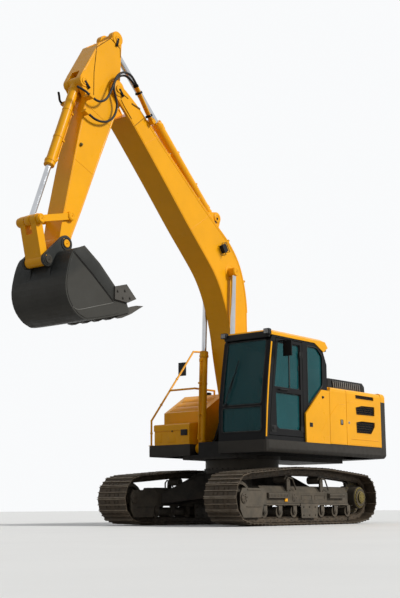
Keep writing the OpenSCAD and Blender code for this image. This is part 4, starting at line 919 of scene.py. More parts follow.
def seal(b, outline, y, r, corner=0.05):
    """Rubber seal round a window in a side wall."""
    loop(b, [(x, y, z) for x, z in outline], r, corner)


# Openings of the grilles in the rear doors, as x and z, and the pitch and thickness of their mesh
GRILLE_REAR, GRILLE_FRONT = -2.210, -1.550
GRILLES = [
    [(GRILLE_REAR, 1.677), (GRILLE_REAR + 0.130, 1.543), (GRILLE_FRONT - 0.020, 1.543), (GRILLE_FRONT - 0.010, 1.735),
     (GRILLE_FRONT - 0.200, 1.762), (GRILLE_REAR, 1.762)],
    [(GRILLE_REAR, 1.868), (GRILLE_FRONT - 0.025, 1.860), (GRILLE_FRONT, 1.992), (GRILLE_FRONT - 0.220, 2.034),
     (GRILLE_REAR, 2.040)],
    [(GRILLE_REAR + 0.015, 2.140), (GRILLE_FRONT - 0.012, 2.140), (GRILLE_FRONT, 2.213), (GRILLE_REAR + 0.030, 2.213)],
]
MESH_PITCH, WIRE_HALF = 0.011, 0.0013


def chord(outline, axis, at):
    """Where a line at the given x (axis 0) or z (axis 1) enters and leaves a convex outline."""
    cut = []
    for i, p in enumerate(outline):
        q = outline[(i + 1) % len(outline)]
        if (p[axis] - at) * (q[axis] - at) < 0:
            t = (at - p[axis]) / (q[axis] - p[axis])
            cut.append(p[1 - axis] + t * (q[1 - axis] - p[1 - axis]))
    return (min(cut), max(cut)) if cut else None


class EXC_OT_bodywork(bpy.types.Operator):
    """Adds grille inserts, latches, vents, caps, lifting eyes, anti-slip plates and seams to the bodywork"""

    bl_idname = "excavator.bodywork"
    bl_label = "Bodywork trim"

    def execute(self, context):
        for side, body, word in REAR_DOORS:
            self.grille(side, body, word)
        self.doors()
        self.deck()
        self.tail()
        self.right_side()
        return {"FINISHED"}

    def grille(self, side, body, word):
        """Mesh of upright and level wires in each opening, and a rim round it."""
        y = side * HOUSE_HALF
        b, f = Builder(), Builder()
        front = sorted((y - side * 0.014, y - side * 0.011))
        back = sorted((y - side * 0.017, y - side * 0.014))
        for outline in GRILLES:
            x, z = min(p[0] for p in outline) + 0.009, min(p[1] for p in outline) + 0.007
            while x < GRILLE_FRONT:
                cut = chord(outline, 0, x)
                if cut:
                    b.box((x - WIRE_HALF, back[0], cut[0] + 0.001), (x + WIRE_HALF, back[1], cut[1] - 0.001), 0)
                x += MESH_PITCH
            while z < max(p[1] for p in outline):
                cut = chord(outline, 1, z)
                if cut:
                    b.box((cut[0] + 0.001, front[0], z - WIRE_HALF), (cut[1] - 0.001, front[1], z + WIRE_HALF), 0)
                z += MESH_PITCH
            loop(f, [(x, y - side * 0.002, z) for x, z in outline], 0.007, 0.02)
        b.done(f"grille_mesh_{word}", "plastic", body, "black_plastic")
        face = sorted((y - side * 0.002, y + side * 0.006))
        f.box((-2.32, face[0], 1.43), (-1.40, face[1], 1.442), 0.003)
        f.done(f"grille_rim_{word}", "yellow", body, "yellow_paint")

    def doors(self):
        """Latches, locks, vent, knob and pressed creases of the doors and the front left panel."""
        y = HOUSE_HALF
        # Latch of the left door: a dark tray with a bright pull
        tray, pull = Builder(), Builder()
        tray.box((-1.125, y - 0.001, 1.660), (-1.045, y + 0.006, 1.750), 0.006)
        tray.box((-1.118, y + 0.004, 1.668), (-1.090, y + 0.013, 1.742), 0.005)
        pull.box((-1.087, y + 0.004, 1.670), (-1.053, y + 0.016, 1.740), 0.007)
        pull.button(Vector((-1.070, y + 0.015, 1.684)), sideways(1), 0.008, 0.004, 0.006, 0.005, 14)
        tray.done("latch_tray", "plastic", "left_door", "black_plastic")
        pull.done("latch_pull", "steel", "left_door", "machined_steel")
        for side, body, word in REAR_DOORS:
            b = Builder()
            at = Vector((-1.330, side * y, 1.710))
            b.lathe([(-0.001, 0.022), (0.004, 0.022), (0.007, 0.018), (0.007, 0.010), (0.004, 0.009), (0.004, 0)],
                    at, at + sideways(side), 24)
            b.done(f"rear_door_lock_{word}", "steel", body, "machined_steel")
        # Front left panel: vent, stop knob and creases
        b = Builder()
        b.box((-0.172, y - 0.001, 1.575), (-0.082, y + 0.005, 1.645), 0.008)
        for k in range(3):
            b.box((-0.160, y + 0.004, 1.590 + 0.018 * k), (-0.094, y + 0.010, 1.599 + 0.018 * k), 0.002)
        b.lathe([(0, 0.024), (0.006, 0.024), (0.010, 0.018), (0.022, 0.016), (0.026, 0.010), (0.026, 0)],
                (-0.493, y, 2.088), (-0.493, y + 1, 2.088), 20)
        b.done("front_panel_vent", "plastic", "house", "black_plastic")
        b = Builder()
        strip(b, [(-0.415, 1.426), (-0.690, 1.439)], y - 0.001, 0.008, 0.003, 0.001)
        strip(b, [(-0.437, 1.524), (-0.669, 1.753)], y - 0.001, 0.008, 0.003, 0.001)
        strip(b, [(0.000, 1.345), (-0.690, 1.345)], y - 0.001, 0.010, 0.004, 0.001)
        strip(b, [(0.014, 1.786), (-0.462, 2.198)], y - 0.002, 0.012, 0.005, 0.002)
        b.done("front_panel_seams", "yellow", "house", "yellow_paint")
        b = Builder()
        strip(b, [(-0.728, 1.807), (-0.984, 2.010), (-1.216, 2.018)], y - 0.001, 0.010, 0.004, 0.001)
        strip(b, [(-0.735, 1.350), (-1.235, 1.350)], y - 0.001, 0.010, 0.004, 0.001)
        b.done("left_door_crease", "yellow", "left_door", "yellow_paint")
        for side, body, word in REAR_DOORS:
            b = Builder()
            face = side * y - side * 0.001
            strip(b, [(-1.265, 2.060), (-1.500, 2.080)], face, 0.010, side * 0.004, 0.001)
            strip(b, [(-1.265, 1.350), (-2.425, 1.350)], face, 0.010, side * 0.004, 0.001)
            b.done(f"rear_door_crease_{word}", "yellow", body, "yellow_paint")

    def deck(self):
        """Hood, louvre box, exhaust and anti-slip plates on the deck."""
        up = Vector((0, 0, 1))
        # Hood: vents, handles and latches
        front, z = -1.150, BAY_TOP + 0.110
        b = Builder()
        for k in range(9):
            x = -2.02 + 0.055 * k
            b.box((x, -0.90, z - 0.001), (x + 0.030, -0.30, z + 0.012), 0.005)
        for y in (-0.72, 0.05):
            bend = ((0, -0.004), (0, 0.030), (0.02, 0.045), (0.16, 0.045), (0.18, 0.030), (0.18, -0.004))
            b.tube([(front - 0.09, y + dy, z + dz) for dy, dz in bend], 0.009, 10)
        b.done("hood_trim", "yellow", "engine_hood", "yellow_paint")
        b = Builder()
        for y in (-0.85, 0.20):
            b.box((front - 0.002, y - 0.035, BAY_TOP + 0.030), (front + 0.012, y + 0.035, BAY_TOP + 0.085), 0.005)
            b.box((front - 0.004, y - 0.016, BAY_TOP + 0.020), (front + 0.022, y + 0.016, BAY_TOP + 0.060), 0.004)
        b.done("hood_latches", "plastic", "engine_hood", "black_plastic")
        # Louvre box: slanted blades on its side, and ribs on its top
        b = Builder()
        rear, face, low, high = -2.300, 1.090, BAY_TOP + 0.030, BAY_TOP + 0.195
        for i in range(14):
            x = rear + 0.164 + 0.068 * i
            b.prism([(x, low), (x + 0.018, low), (x + 0.050, high - 0.030), (x + 0.032, high - 0.030)],
                    face - 0.001, face + 0.010, "Y", 0.003)
        for y in (0.50, 0.64, 0.78, 0.92):
            for i in range(9):
                x = rear + 0.26 + 0.105 * i
                b.box((x, y - 0.05, high - 0.001), (x + 0.045, y + 0.05, high + 0.008), 0.004)
        b.done("louvre_blades", "blade", "house", "machined_steel")
        # Exhaust: foot ring, clamp and clamp screw
        b = Builder()
        c = Vector((-2.040, -1.120, BAY_TOP))
        b.lathe([(0, 0.064), (0.020, 0.064), (0.022, 0.056), (0.020, 0.054)], c + up * 0.045, c + up, 32)
        b.lathe([(0, 0.059), (0.012, 0.059), (0.016, 0.056), (0.014, 0.050), (-0.030, 0.050)], c + up * 0.306,
                c + up, 32)
        b.box((c.x - 0.005, -1.050, BAY_TOP + 0.047), (c.x + 0.005, -1.035, BAY_TOP + 0.063), 0.002)
        b.done("exhaust_clamp", "exhaust", "house", "exhaust_steel")
        # Anti-slip plates beside the hood, with a stud every 50 mm
        b = Builder()
        pitch = 0.05
        for x0, x1, y0, y1 in ((-1.08, -0.80, -0.95, 0.30), (-0.98, -0.80, 0.42, 1.10)):
            b.box((x0, y0, BAY_TOP - 0.001), (x1, y1, BAY_TOP + 0.004), 0.002)
            for i in range(int((x1 - x0) / pitch)):
                for j in range(int((y1 - y0) / pitch)):
                    at = Vector((x0 + 0.025 + pitch * i, y0 + 0.025 + pitch * j, BAY_TOP + 0.003))
                    b.lathe([(0, 0.012), (0.004, 0.010), (0.004, 0.004)], at, at + up, 6)
        b.done("deck_tread", "dark", "house", "dark_paint")

    def tail_face(self, degrees, z):
        """Place on the counterweight's round face, and the way out of it, at an angle from straight behind."""
        a = math.radians(180 + degrees)
        out = Vector((math.cos(a), math.sin(a), 0))
        return out * (TAIL_R - 0.0005) + Vector((0, 0, z)), out

    def tail(self):
        """Lifting eyes with their weld seams, plugs and reflectors of the counterweight."""
        b = Builder()
        z = BAY_TOP + 0.015
        front, rear, mid = -2.444, -2.664, -2.554
        for y in (-0.70, 0.70):
            turn = [math.radians(a) for a in range(0, 181, 20)]
            outline = [(rear, z - 0.002), (front, z - 0.002), (mid + 0.07, z + 0.060)]
            outline += [(mid + 0.07 * math.cos(a), z + 0.060 + 0.07 * math.sin(a)) for a in turn]
            b.prism(outline, y - 0.016, y + 0.016, "Y", 0.005)
            eye = Vector((mid, y, z + 0.060))
            b.lathe([(-0.022, 0.030), (-0.022, 0.040), (0.022, 0.040), (0.022, 0.030)], eye, eye + sideways(1), 20)
            for off in (0.018, -0.018):
                b.bead([(rear, y + off, z + 0.002), (front, y + off, z + 0.002)], 0.006)
        for degrees in (-22, -8, 8, 22):
            at, out = self.tail_face(degrees, 1.55)
            b.lathe([(-0.004, 0.045), (0.003, 0.045), (0.006, 0.040), (0.006, 0.0)], at, at + out, 24)
        b.done("counterweight_trim", "dark", "house", "dark_paint")
        for side, word in SIDES:
            b = Builder()
            at, out = self.tail_face(-side * 24, 1.80)
            b.box((-0.09, -0.008, -0.035), (0.09, 0.012, 0.035), 0.006,
                  stand(Vector((-out.y, out.x, 0)), out, Vector((0, 0, 1)), at))
            b.done(f"tail_reflector_{word}", "red", "house")

    def right_side(self):
        """Tank caps, treads of the bonnet, tank trim, toolbox fittings and the handrail's fittings."""
        up = Vector((0, 0, 1))
        # Tank caps with grip ribs
        b = Builder()
        top = 2.230
        for x, y, r in ((-0.16, -0.86, 0.062), (-0.50, -1.12, 0.050)):
            b.lathe([(-0.002, r + 0.018), (0.014, r + 0.018), (0.018, r + 0.012), (0.020, r), (0.052, r - 0.002),
                     (0.058, r - 0.010), (0.058, 0)], (x, y, top), (x, y, top + 1), 28)
            for k in range(12):
                rx, ry = x + r * math.cos(k * math.tau / 12), y + r * math.sin(k * math.tau / 12)
                b.box((rx - 0.005, ry - 0.005, top + 0.022), (rx + 0.005, ry + 0.005, top + 0.050), 0.002)
        b.done("tank_caps", "plastic", "house", "black_plastic")
        # Treads on the sloping bonnet, three plates with twelve bars each
        b = Builder()
        high, low = Vector((-0.030, 0, 2.210)), Vector((0.500, 0, 1.900))
        d = (low - high).normalized()
        m = stand(d, sideways(1), Vector((-d.z, 0, d.x)), high)
        for k in range(3):
            x = 0.185 * k
            b.box((0.05 + x, -1.22, -0.002), (0.19 + x, -0.55, 0.006), 0.003, m)
            for j in range(12):
                y = -1.20 + 0.053 * j
                b.box((0.07 + x, y, 0.004), (0.17 + x, y + 0.015, 0.012), 0.002, m)
        b.done("bonnet_treads", "yellow", "house", "yellow_paint")
        # Tank side: seams, bolted drain cover, and ribs on the toolbox's front
        b = Builder()
        y = -HOUSE_HALF + 0.020
        strip(b, [(-0.300, 1.34), (-0.300, 2.21)], y + 0.001, 0.010, -0.005, 0.002)
        strip(b, [(0.48, 1.345), (-0.70, 1.345)], y + 0.001, 0.012, -0.005, 0.002)
        b.box((-0.62, y - 0.008, 1.45), (-0.40, y + 0.001, 1.62), 0.006)
        for x, z in ((-0.60, 1.47), (-0.42, 1.47), (-0.60, 1.60), (-0.42, 1.60)):
            b.bolt((x, y - 0.008, z), (0, -1, 0), 0.010)
        for y in (-1.10, -0.80, -0.50):
            b.box((0.903, y - 0.08, 1.36), (0.909, y + 0.08, 1.52), 0.006)
        b.done("tank_trim", "yellow", "house", "yellow_paint")
        # Toolbox lid: vent and keyhole
        b = Builder()
        b.box((0.915, -0.590, 1.470), (0.924, -0.450, 1.570), 0.006)
        for k in range(4):
            b.box((0.922, -0.580, 1.480 + 0.022 * k), (0.929, -0.460, 1.492 + 0.022 * k), 0.003)
        b.button(Vector((0.915, -0.779, 1.549)), Vector((1, 0, 0)), 0.014, 0.006, 0.010, 0.009, 16)
        b.done("toolbox_latches", "plastic", "toolbox_lid", "black_plastic")
        # Handrail: foot plates, and sleeves where its parts join
        b = Builder()
        y = -HOUSE_HALF + 0.065
        for x, z in ((0.890, 1.320), (-0.500, 2.230)):
            b.box((x - 0.035, y - 0.035, z - 0.001), (x + 0.035, y + 0.035, z + 0.010), 0.004)
            for off in (-0.024, 0.024):
                b.bolt((x + off, y + off, z + 0.010), up, 0.006, 0.005)
        for x, z, lean in ((0.890, 1.52, 0), (0.645, 2.03, 0.26), (0.215, 2.52, 0.26)):
            b.lathe([(0, 0.019), (0.004, 0.023), (0.026, 0.023), (0.030, 0.019)], (x, y, z), (x - lean, y, z + 0.3), 20)
        b.done("handrail_fittings", "yellow", "house", "yellow_paint")


def front_x(z):
    """Where the cab's bowed front is at the height z."""
    line = [(1.320, 1.140), (1.860, 1.128), (2.300, 1.066), (2.900, 0.960), (2.990, 0.905)]
    for (z0, x0), (z1, x1) in zip(line, line[1:]):
        if z <= z1:
            return x0 + (x1 - x0) * (z - z0) / (z1 - z0)
    raise RuntimeError("above the cab")


class EXC_OT_cab(bpy.types.Operator):
    """Adds seals, handles, wiper, lamps, visor, mirrors and the inside of the cab"""

    bl_idname = "excavator.cab"
    bl_label = "Cab trim"

    def execute(self, context):
        self.outside()
        self.door()
        self.lamps()
        self.mirrors()
        self.inside()
        return {"FINISHED"}

    def outside(self):
        """Pillar strip, window seals, wiper, roof hatch and visor."""
        b = Builder()
        strip(b, [(1.119, 1.365), (1.081, 1.816), (1.030, 2.265), (0.982, 2.588), (0.931, 2.877)], CAB_SIDE - 0.001,
              0.034, 0.006, 0.002)
        b.done("pillar_strip", "yellow", "house", "yellow_paint")
        b = Builder()
        y0, y1 = CAB_INNER + 0.075, CAB_SIDE - 0.075
        for heights in ((1.452, 1.843), (1.877, 2.300, 2.918)):
            line = [(front_x(z), z) for z in heights]
            loop(b, [(x, y0, z) for x, z in line] + [(x, y1, z) for x, z in line[::-1]], 0.011, 0.05)
        seal(b, [(-0.088, 1.915), (-0.088, 2.920), (-0.390, 2.920), (-0.556, 2.790), (-0.552, 2.290)], CAB_SIDE - 0.003,
             0.010)
        seal(b, [(1.035, 1.500), (1.035, 1.860), (0.975, 2.300), (0.850, 2.890), (-0.390, 2.890), (-0.550, 2.770),
                 (-0.550, 2.330), (-0.420, 2.290), (0.120, 1.850), (0.120, 1.500)], CAB_INNER + 0.003, 0.010)
        loop(b, [(-0.691, 0.480, 2.332), (-0.691, 1.200, 2.332), (-0.691, 1.200, 2.618), (-0.691, 0.480, 2.618)], 0.010,
             0.05)
        b.done("window_seals", "seal", "house", "black_plastic")
        # Wiper: motor box, arm and blade over the upper screen
        b = Builder()

        def on_screen(y, t, off):
            z = 1.885 + t
            return Vector((front_x(z) + off, y, z))

        b.tube([on_screen(0.52, 0.02, 0.015), on_screen(0.54, 0.10, 0.032), on_screen(0.66, 0.46, 0.036)], 0.009, 8)
        b.tube([on_screen(0.60, 0.22, 0.022), on_screen(0.66, 0.47, 0.022), on_screen(0.72, 0.72, 0.022)], 0.008, 6)
        at = on_screen(0.52, 0.01, 0.002)
        b.lathe([(0, 0.026), (0.020, 0.026), (0.030, 0.018), (0.030, 0)], at, at + Vector((1, 0, 0.1)), 16)
        b.done("wiper", "plastic", "house", "black_plastic")
        b = Builder()
        z = 3.080
        b.box((-0.25, 0.62, z - 0.001), (0.40, 1.06, z + 0.018), 0.010)
        b.done("roof_hatch", "plastic", "house", "black_plastic")
        # Visor over the screen, and the small light at the roof's rear corner
        b = Builder()
        b.box((0.930, CAB_INNER + 0.012, 2.946), (0.990, CAB_SIDE - 0.012, 3.050), 0.024)
        b.box((-0.690, CAB_SIDE - 0.060, 2.880), (-0.640, CAB_SIDE - 0.001, 2.925), 0.008)
        b.done("screen_visor", "plastic", "house", "black_plastic")
        b = Builder()
        for z in (1.40, 1.70):
            strip(b, [(-0.665, z), (-0.665, z + 0.20)], CAB_SIDE - 0.002, 0.02, 0.004, 0.001)
        b.done("cab_side_trim", "plastic", "house", "black_plastic")

    def door(self):
        """Seals, window bar, handle, lock, hinges and grab bar of the cab's door."""
        y = CAB_SIDE
        b = Builder()
        upper = [(0.125, 2.165), (0.872, 2.165), (0.850, 2.275), (0.752, 2.900), (0.125, 2.900)]
        lower = [(0.125, 1.500), (0.760, 1.500), (0.818, 1.550), (0.835, 2.085), (0.125, 2.085)]
        seal(b, upper, y - 0.030, 0.010)
        seal(b, lower, y - 0.030, 0.010)
        b.box((0.395, y - 0.036, 2.168), (0.420, y - 0.022, 2.897), 0.003)
        b.box((0.128, y - 0.034, 2.480), (0.150, y - 0.020, 2.560), 0.004)
        b.done("door_seals", "seal", "cab_door", "black_plastic")
        b = Builder()
        b.box((0.845, y - 0.002, 1.440), (0.980, y + 0.006, 1.550), 0.010)
        b.box((0.862, y + 0.004, 1.482), (0.950, y + 0.022, 1.534), 0.008)
        b.lathe([(0, 0.012), (0.006, 0.012), (0.007, 0.0)], (0.962, y + 0.006, 1.462), (0.962, y + 1, 1.462), 14)
        for z in (1.52, 2.74):
            b.cylinder((0.065, y - 0.005, z - 0.05), (0.065, y - 0.005, z + 0.05), 0.012, 16)
            b.box((0.090, y - 0.001, z - 0.045), (0.145, y + 0.005, z + 0.045), 0.004)
            for dz in (-0.025, 0.025):
                b.bolt((0.118, y + 0.005, z + dz), (0, 1, 0), 0.008, 0.005)
        b.tube([(x, y + off, 2.125) for x, off in ((0.52, 0), (0.52, 0.030), (0.76, 0.030), (0.76, 0))], 0.009, 10)
        b.done("door_handle", "plastic", "cab_door", "black_plastic")

    def lamps(self):
        glass, shell = Builder(), Builder()
        for y in (CAB_INNER + 0.030, CAB_SIDE - 0.035):
            shell.box((1.024, y - 0.050, 2.990), (1.034, y + 0.050, 3.080), 0.006)
            glass.box((1.032, y - 0.038, 3.002), (1.040, y + 0.038, 3.068), 0.006)
            for k in range(5):
                shell.box((0.965 + 0.012 * k, y - 0.044, 3.072), (0.970 + 0.012 * k, y + 0.044, 3.082), 0.002)
        shell.done("cab_lamp_rims", "plastic", "house", "lamp_housing")
        glass.done("cab_lamp_glass", "lens", "house")

    def mirrors(self):
        b = Builder()
        b.box((0.716, 1.398, 2.660), (0.722, 1.542, 2.890), 0.008)
        b.done("door_mirror_glass", "mirror", "cab_door", "chrome_rod")
        b = Builder()
        b.box((-0.082, -1.432, 2.632), (-0.075, -1.292, 2.848), 0.003)
        b.done("right_mirror_glass", "mirror", "house", "chrome_rod")

    def inside(self):
        """Seat with crowned cushions in place of its plain solid, armrests, levers, pedals and monitor."""
        b = Builder()
        b.box((-0.235, 0.655, 1.381), (0.235, 0.975, 1.560), 0.020)
        for k in range(4):
            b.box((-0.240, 0.650, 1.415 + 0.035 * k), (0.240, 0.980, 1.430 + 0.035 * k), 0.005)
        base = b.done("seat_base", "plastic", "house", "black_plastic")
        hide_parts("seat")
        cushion("seat_cushion", (-0.235, 0.620, 1.585), (0.250, 1.020, 1.712), (0, 0, 0, 0), "house")
        lean = math.degrees(math.atan2(0.100, 0.700))
        cushion("seat_back", (-0.055, 0.620, 0.0), (0.055, 1.020, 0.520), (-0.190, 0, 1.730, -lean), "house")
        cushion("seat_headrest", (-0.040, 0.720, 0.0), (0.040, 0.920, 0.140), (-0.272, 0, 2.285, -lean), "house")
        b = Builder()
        for y in (0.60, 1.04):
            b.box((-0.20, y - 0.028, 1.945), (0.14, y + 0.028, 1.985), 0.016)
            b.tube([(-0.215, y, 1.80), (-0.20, y, 1.95)], 0.014, 8)
        b.done("armrests", "plastic", "house", "black_plastic")
        b = Builder()
        for y in (0.515, 1.115):
            b.lathe([(0, 0.034), (0.018, 0.030), (0.034, 0.018), (0.060, 0.017)], (0.320, y, 1.880), (0.320, y, 9), 20)
            b.lathe([(0, 0.020), (0.03, 0.027), (0.09, 0.029), (0.125, 0.026), (0.14, 0.014), (0.142, 0)],
                    (0.320, y, 2.030), (0.335, y, 2.15), 18)
        for y in (0.72, 0.90):
            b.box((0.760, y - 0.050, 1.430), (0.850, y + 0.050, 1.446), 0.006)
            b.lathe([(0, 0.020), (0.03, 0.024), (0.05, 0.022), (0.055, 0)], (0.800, y, 1.985), (0.800, y, 9), 16)
        # Monitor on its post
        b.tube([(0.900, 0.475, 1.60), (0.880, 0.480, 1.86)], 0.014, 8)
        b.box((0.850, 0.452, 1.860), (0.878, 0.640, 2.010), 0.008)
        b.done("controls", "plastic", "house", "black_plastic")


def cushion(name, low, high, place, body):
    """Crowned cushion with a piped edge and sewn channels; place is x, y, z and an angle about the y axis."""
    n = 14
    (x0, y0, z0), (x1, y1, z1) = low, high
    tall = (z1 - z0) > (x1 - x0) * 2
    bm = bmesh.new()
    bmesh.ops.create_cube(bm, size=1.0)
    bmesh.ops.subdivide_edges(bm, edges=bm.edges[:], cuts=n, use_grid_fill=True)
    for v in bm.verts:
        p = v.co * 2
        # Rounded box, fuller in the middle of its faces
        q = Vector([c * math.sqrt(max(0.0, 1 - 0.30 * (d * d + e * e) + 0.10 * d * d * e * e))
                    for c, d, e in ((p.x, p.y, p.z), (p.y, p.x, p.z), (p.z, p.x, p.y))])
        bulge = 1 + 0.10 * (1 - abs(p.y)) if tall else 1.0
        channel = 0.0
        wide = abs(p.x) > 0.98 if tall else p.z > 0.98
        if wide:
            row = p.z if tall else p.x
            channel = -0.05 * math.exp(-((math.sin(row * math.pi * 2.0)) / 0.22) ** 2)
            side = max(0.0, abs(p.y) - 0.62)
            channel += 0.10 * math.sin(min(1.0, side / 0.3) * math.pi)
        if tall:
            q.x = (q.x + math.copysign(channel, p.x)) * bulge
        else:
            q.z += channel * 0.6
        v.co = Vector((x0 + (q.x + 1) / 2 * (x1 - x0), y0 + (q.y + 1) / 2 * (y1 - y0), z0 + (q.z + 1) / 2 * (z1 - z0)))
    mesh = bpy.data.meshes.new(name)
    bm.to_mesh(mesh)
    bm.free()
    mesh.transform(Matrix.Translation(place[:3]) @ Matrix.Rotation(math.radians(place[3]), 4, "Y"))
    mesh.shade_smooth()
    mesh.materials.append(MATERIALS["fabric"])
    obj = bpy.data.objects.new(name, mesh)
    bpy.context.scene.collection.objects.link(obj)
    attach(obj, body)
    return obj


# ---------------------------------------------------------------- boom, arm and bucket


def curve(edge, steps):
    """Smooth curve through points in u and v, again as u and v."""
    return [(q.x, q.z) for q in smooth([(u, 0, v) for u, v in edge], steps)]


def along(edge, out):
    """Points of an edge in u and v, moved sideways by out."""
    pts = [Vector((u, 0, v)) for u, v in edge]
    moved = []
    for i, p in enumerate(pts):
        d = (pts[min(i + 1, len(pts) - 1)] - pts[max(i - 1, 0)]).normalized()
        q = p + Vector((-d.z, 0, d.x)) * out
        moved.append((q.x, q.z))
    return moved


# Lower and upper edge of the boom, as u and v in its frame
BOOM_LOW = [(0.400, -0.020), (1.000, 0.205), (1.500, 0.415), (2.000, 0.535), (2.400, 0.555), (2.800, 0.490),
            (3.400, 0.365), (4.300, 0.205), (5.200, 0.030), (5.700, -0.095)]
BOOM_HIGH = [(-0.040, 0.140), (0.500, 0.410), (1.180, 0.800), (1.560, 1.045), (1.930, 1.205), (2.300, 1.275),
             (2.680, 1.225), (3.100, 1.070), (3.600, 0.890), (4.200, 0.690), (4.800, 0.490), (5.400, 0.320)]
# Lower and upper edge of the arm, as u and v in its frame
ARM_LOW = [(2.670, -0.095), (2.200, -0.115), (1.270, -0.128), (0.500, -0.150), (0.250, -0.175)]
ARM_HIGH = [(0.500, 0.500), (0.850, 0.435), (1.200, 0.385), (1.920, 0.270), (2.410, 0.190)]


def seam(b, m, line, y, r=0.006):
    """Weld bead on a side face at y, along points in u and v of the frame m."""
    b.bead([in_frame(m, u, y, v) for u, v in line], r)


# Bosses round the boom's pins: place, radius, where its side stands, bore and height
BOOM_BOSSES = (((0, 0), 0.150, BOOM_HALF, 0.052, 0.014), (BOOM_EYE, 0.125, BOOM_HALF, 0.082, 0.004),
               ((BOOM_LEN, 0), 0.115, BOOM_HALF, 0.047, 0.014), (ARM_CYLINDER_BASE, 0.082, 0.138, 0.047, 0.014))


class EXC_OT_boom(bpy.types.Operator):
    """Adds weld beads, bosses, pins, clamp bolts, pipe ends and the lamp's guard to the boom"""

    bl_idname = "excavator.boom"
    bl_label = "Boom trim"

    def execute(self, context):
        welds = Builder()
        for y in (BOOM_HALF - 0.001, -BOOM_HALF + 0.001):
            for edge, out in ((BOOM_LOW, 0.022), (BOOM_HIGH, -0.022)):
                seam(welds, BOOM_FRAME, along(curve(edge, 4), out), y)
            for u, low, high in ((0.95, 0.215, 0.640), (3.30, 0.395, 0.980), (4.90, 0.105, 0.440)):
                seam(welds, BOOM_FRAME, ((u, low), (u, high)), y, 0.005)
        welds.done("boom_welds", "yellow", "boom", "yellow_paint")

        b = Builder()
        for s in (1, -1):
            for (u, v), r, y, bore, h in BOOM_BOSSES:
                c = in_frame(BOOM_FRAME, u, s * y, v)
                b.lathe([(-0.004, r), (h - 0.003, r), (h, r - 0.006), (h, bore), (-0.004, bore)], c,
                        c + sideways(s), 40)
                turn = [k * math.tau / 32 for k in range(33)]
                ring = [Vector((math.cos(a) * (r + 0.002), s * 0.001, math.sin(a) * (r + 0.002))) for a in turn]
                b.bead([c + p for p in ring], 0.006)
        b.done("boom_bosses", "yellow", "boom", "yellow_paint")

        self.pins()
        self.clamp_bolts()
        self.nose()
        self.lamp()
        return {"FINISHED"}

    def pins(self):
        """Pin ends at the nose, the arm cylinder's base, the boom cylinders' eyes and the two feet."""
        pins, bars = Builder(), Builder()
        for s in (1, -1):
            pin_end(pins, pin_of(BOOM_FRAME, (BOOM_LEN, 0)), s, BOOM_HALF + 0.020, 0.062, BOOM_DEG + 172, bars)
            pin_end(pins, pin_of(BOOM_FRAME, ARM_CYLINDER_BASE), s, 0.137, 0.060, -60, bars)
        pins.done("boom_pins", "yellow", "boom", "yellow_paint")
        bars.done("boom_pin_keepers", "black", "boom", "black_paint")
        caps = Builder()
        for s in (1, -1):
            c = in_frame(BOOM_FRAME, BOOM_EYE[0], s * BOOM_CYLINDER_Y, BOOM_EYE[1])
            caps.lathe([(0, 0.0755), (0.102, 0.0755)], c - sideways(0.051), c + sideways(0.051), 32)
            pin_end(caps, pin_of(BOOM_FRAME, BOOM_EYE), s, 0.350, 0.066)
        caps.done("boom_eye_caps", "yellow", "boom_rods", "yellow_paint")
        feet, bars = Builder(), Builder()
        for s in (1, -1):
            pin_end(feet, FOOT, s, 0.271, 0.070, 200, bars)
            pin_end(feet, CYLINDER_FOOT, s, 0.372, 0.060)
        feet.done("boom_foot_pins", "steel", "house", "machined_steel")
        bars.done("boom_foot_keepers", "black", "house", "black_paint")

    def clamp_bolts(self):
        """Bolts of the clamps on the pipes along the boom's back."""
        b = Builder()
        line = smooth([(u, 0, v) for u, v in BOOM_HIGH], 4)
        for i in (16, 24, 32, 38):
            p, q = line[i], line[i + 1]
            d = (q - p).normalized()
            up = Vector((-d.z, 0, d.x))
            for s in (1, -1):
                for y in (0.140, 0.1755, 0.210):
                    c = p + d * 0.030 + up * 0.0525 + sideways(s * y)
                    b.bolt(BOOM_FRAME @ c, (BOOM_FRAME @ (c + up)) - (BOOM_FRAME @ c), 0.009, 0.008)
        b.done("boom_clamp_bolts", "steel", "boom", "machined_steel")

    def nose(self):
        """Pipes that go on over the start of the hoses, their nuts and clamps, and the ribs of the nose, whose dark
        colour is painted shade.
        """
        b, dark = Builder(), Builder()
        line = smooth([(x, 0, z) for x, z in HOSE_START], 6)
        for y in (INNER_Y, OUTER_Y):
            for s in (1, -1):
                pts = [q + sideways(s * y) for q in line]
                b.tube(pts, 0.0200, 14)
                d = (pts[-1] - pts[-2]).normalized()
                dark.lathe([(-0.040, 0.0200), (-0.038, 0.029), (-0.004, 0.029), (0, 0.025), (0.004, 0.020)], pts[-1],
                           pts[-1] + d, 6)
        for i in (7, 14):
            d = (line[i + 1] - line[i]).normalized()
            m = stand(d, sideways(1), Vector((-d.z, 0, d.x)), line[i])
            for s in (1, -1):
                y0, y1 = sorted((s * 0.214, s * 0.316))
                dark.box((-0.018, y0, -0.034), (0.018, y1, 0.034), 0.006, m)
        b.done("boom_nose_pipes", "yellow", "boom", "yellow_paint")
        dark.done("boom_nose_clamps", "black", "boom", "black_paint")
        # Rib plate and lines along the nose, coloured dark as painted shade of its ribs and slot
        b = Builder()
        for s in (1, -1):
            y0, y1 = sorted((s * (BOOM_HALF - 0.001), s * (BOOM_HALF + 0.007)))
            b.prism([(5.545, 0.165), (5.565, 0.180), (5.430, 0.325), (5.405, 0.310)], y0, y1, "Y", 0.003, BOOM_FRAME)
            y = s * BOOM_HALF
            seam(b, BOOM_FRAME, ((5.229, 0.035), (5.264, 0.330)), y, 0.005)
            seam(b, BOOM_FRAME, ((5.835, 0.050), (5.744, 0.062), (5.650, 0.139)), y, 0.008)
            seam(b, BOOM_FRAME, ((5.690, -0.035), (5.566, -0.017), (5.349, 0.032)), y, 0.008)
        b.done("boom_nose_ribs_painted_shade", "groove", "boom", "yellow_paint")

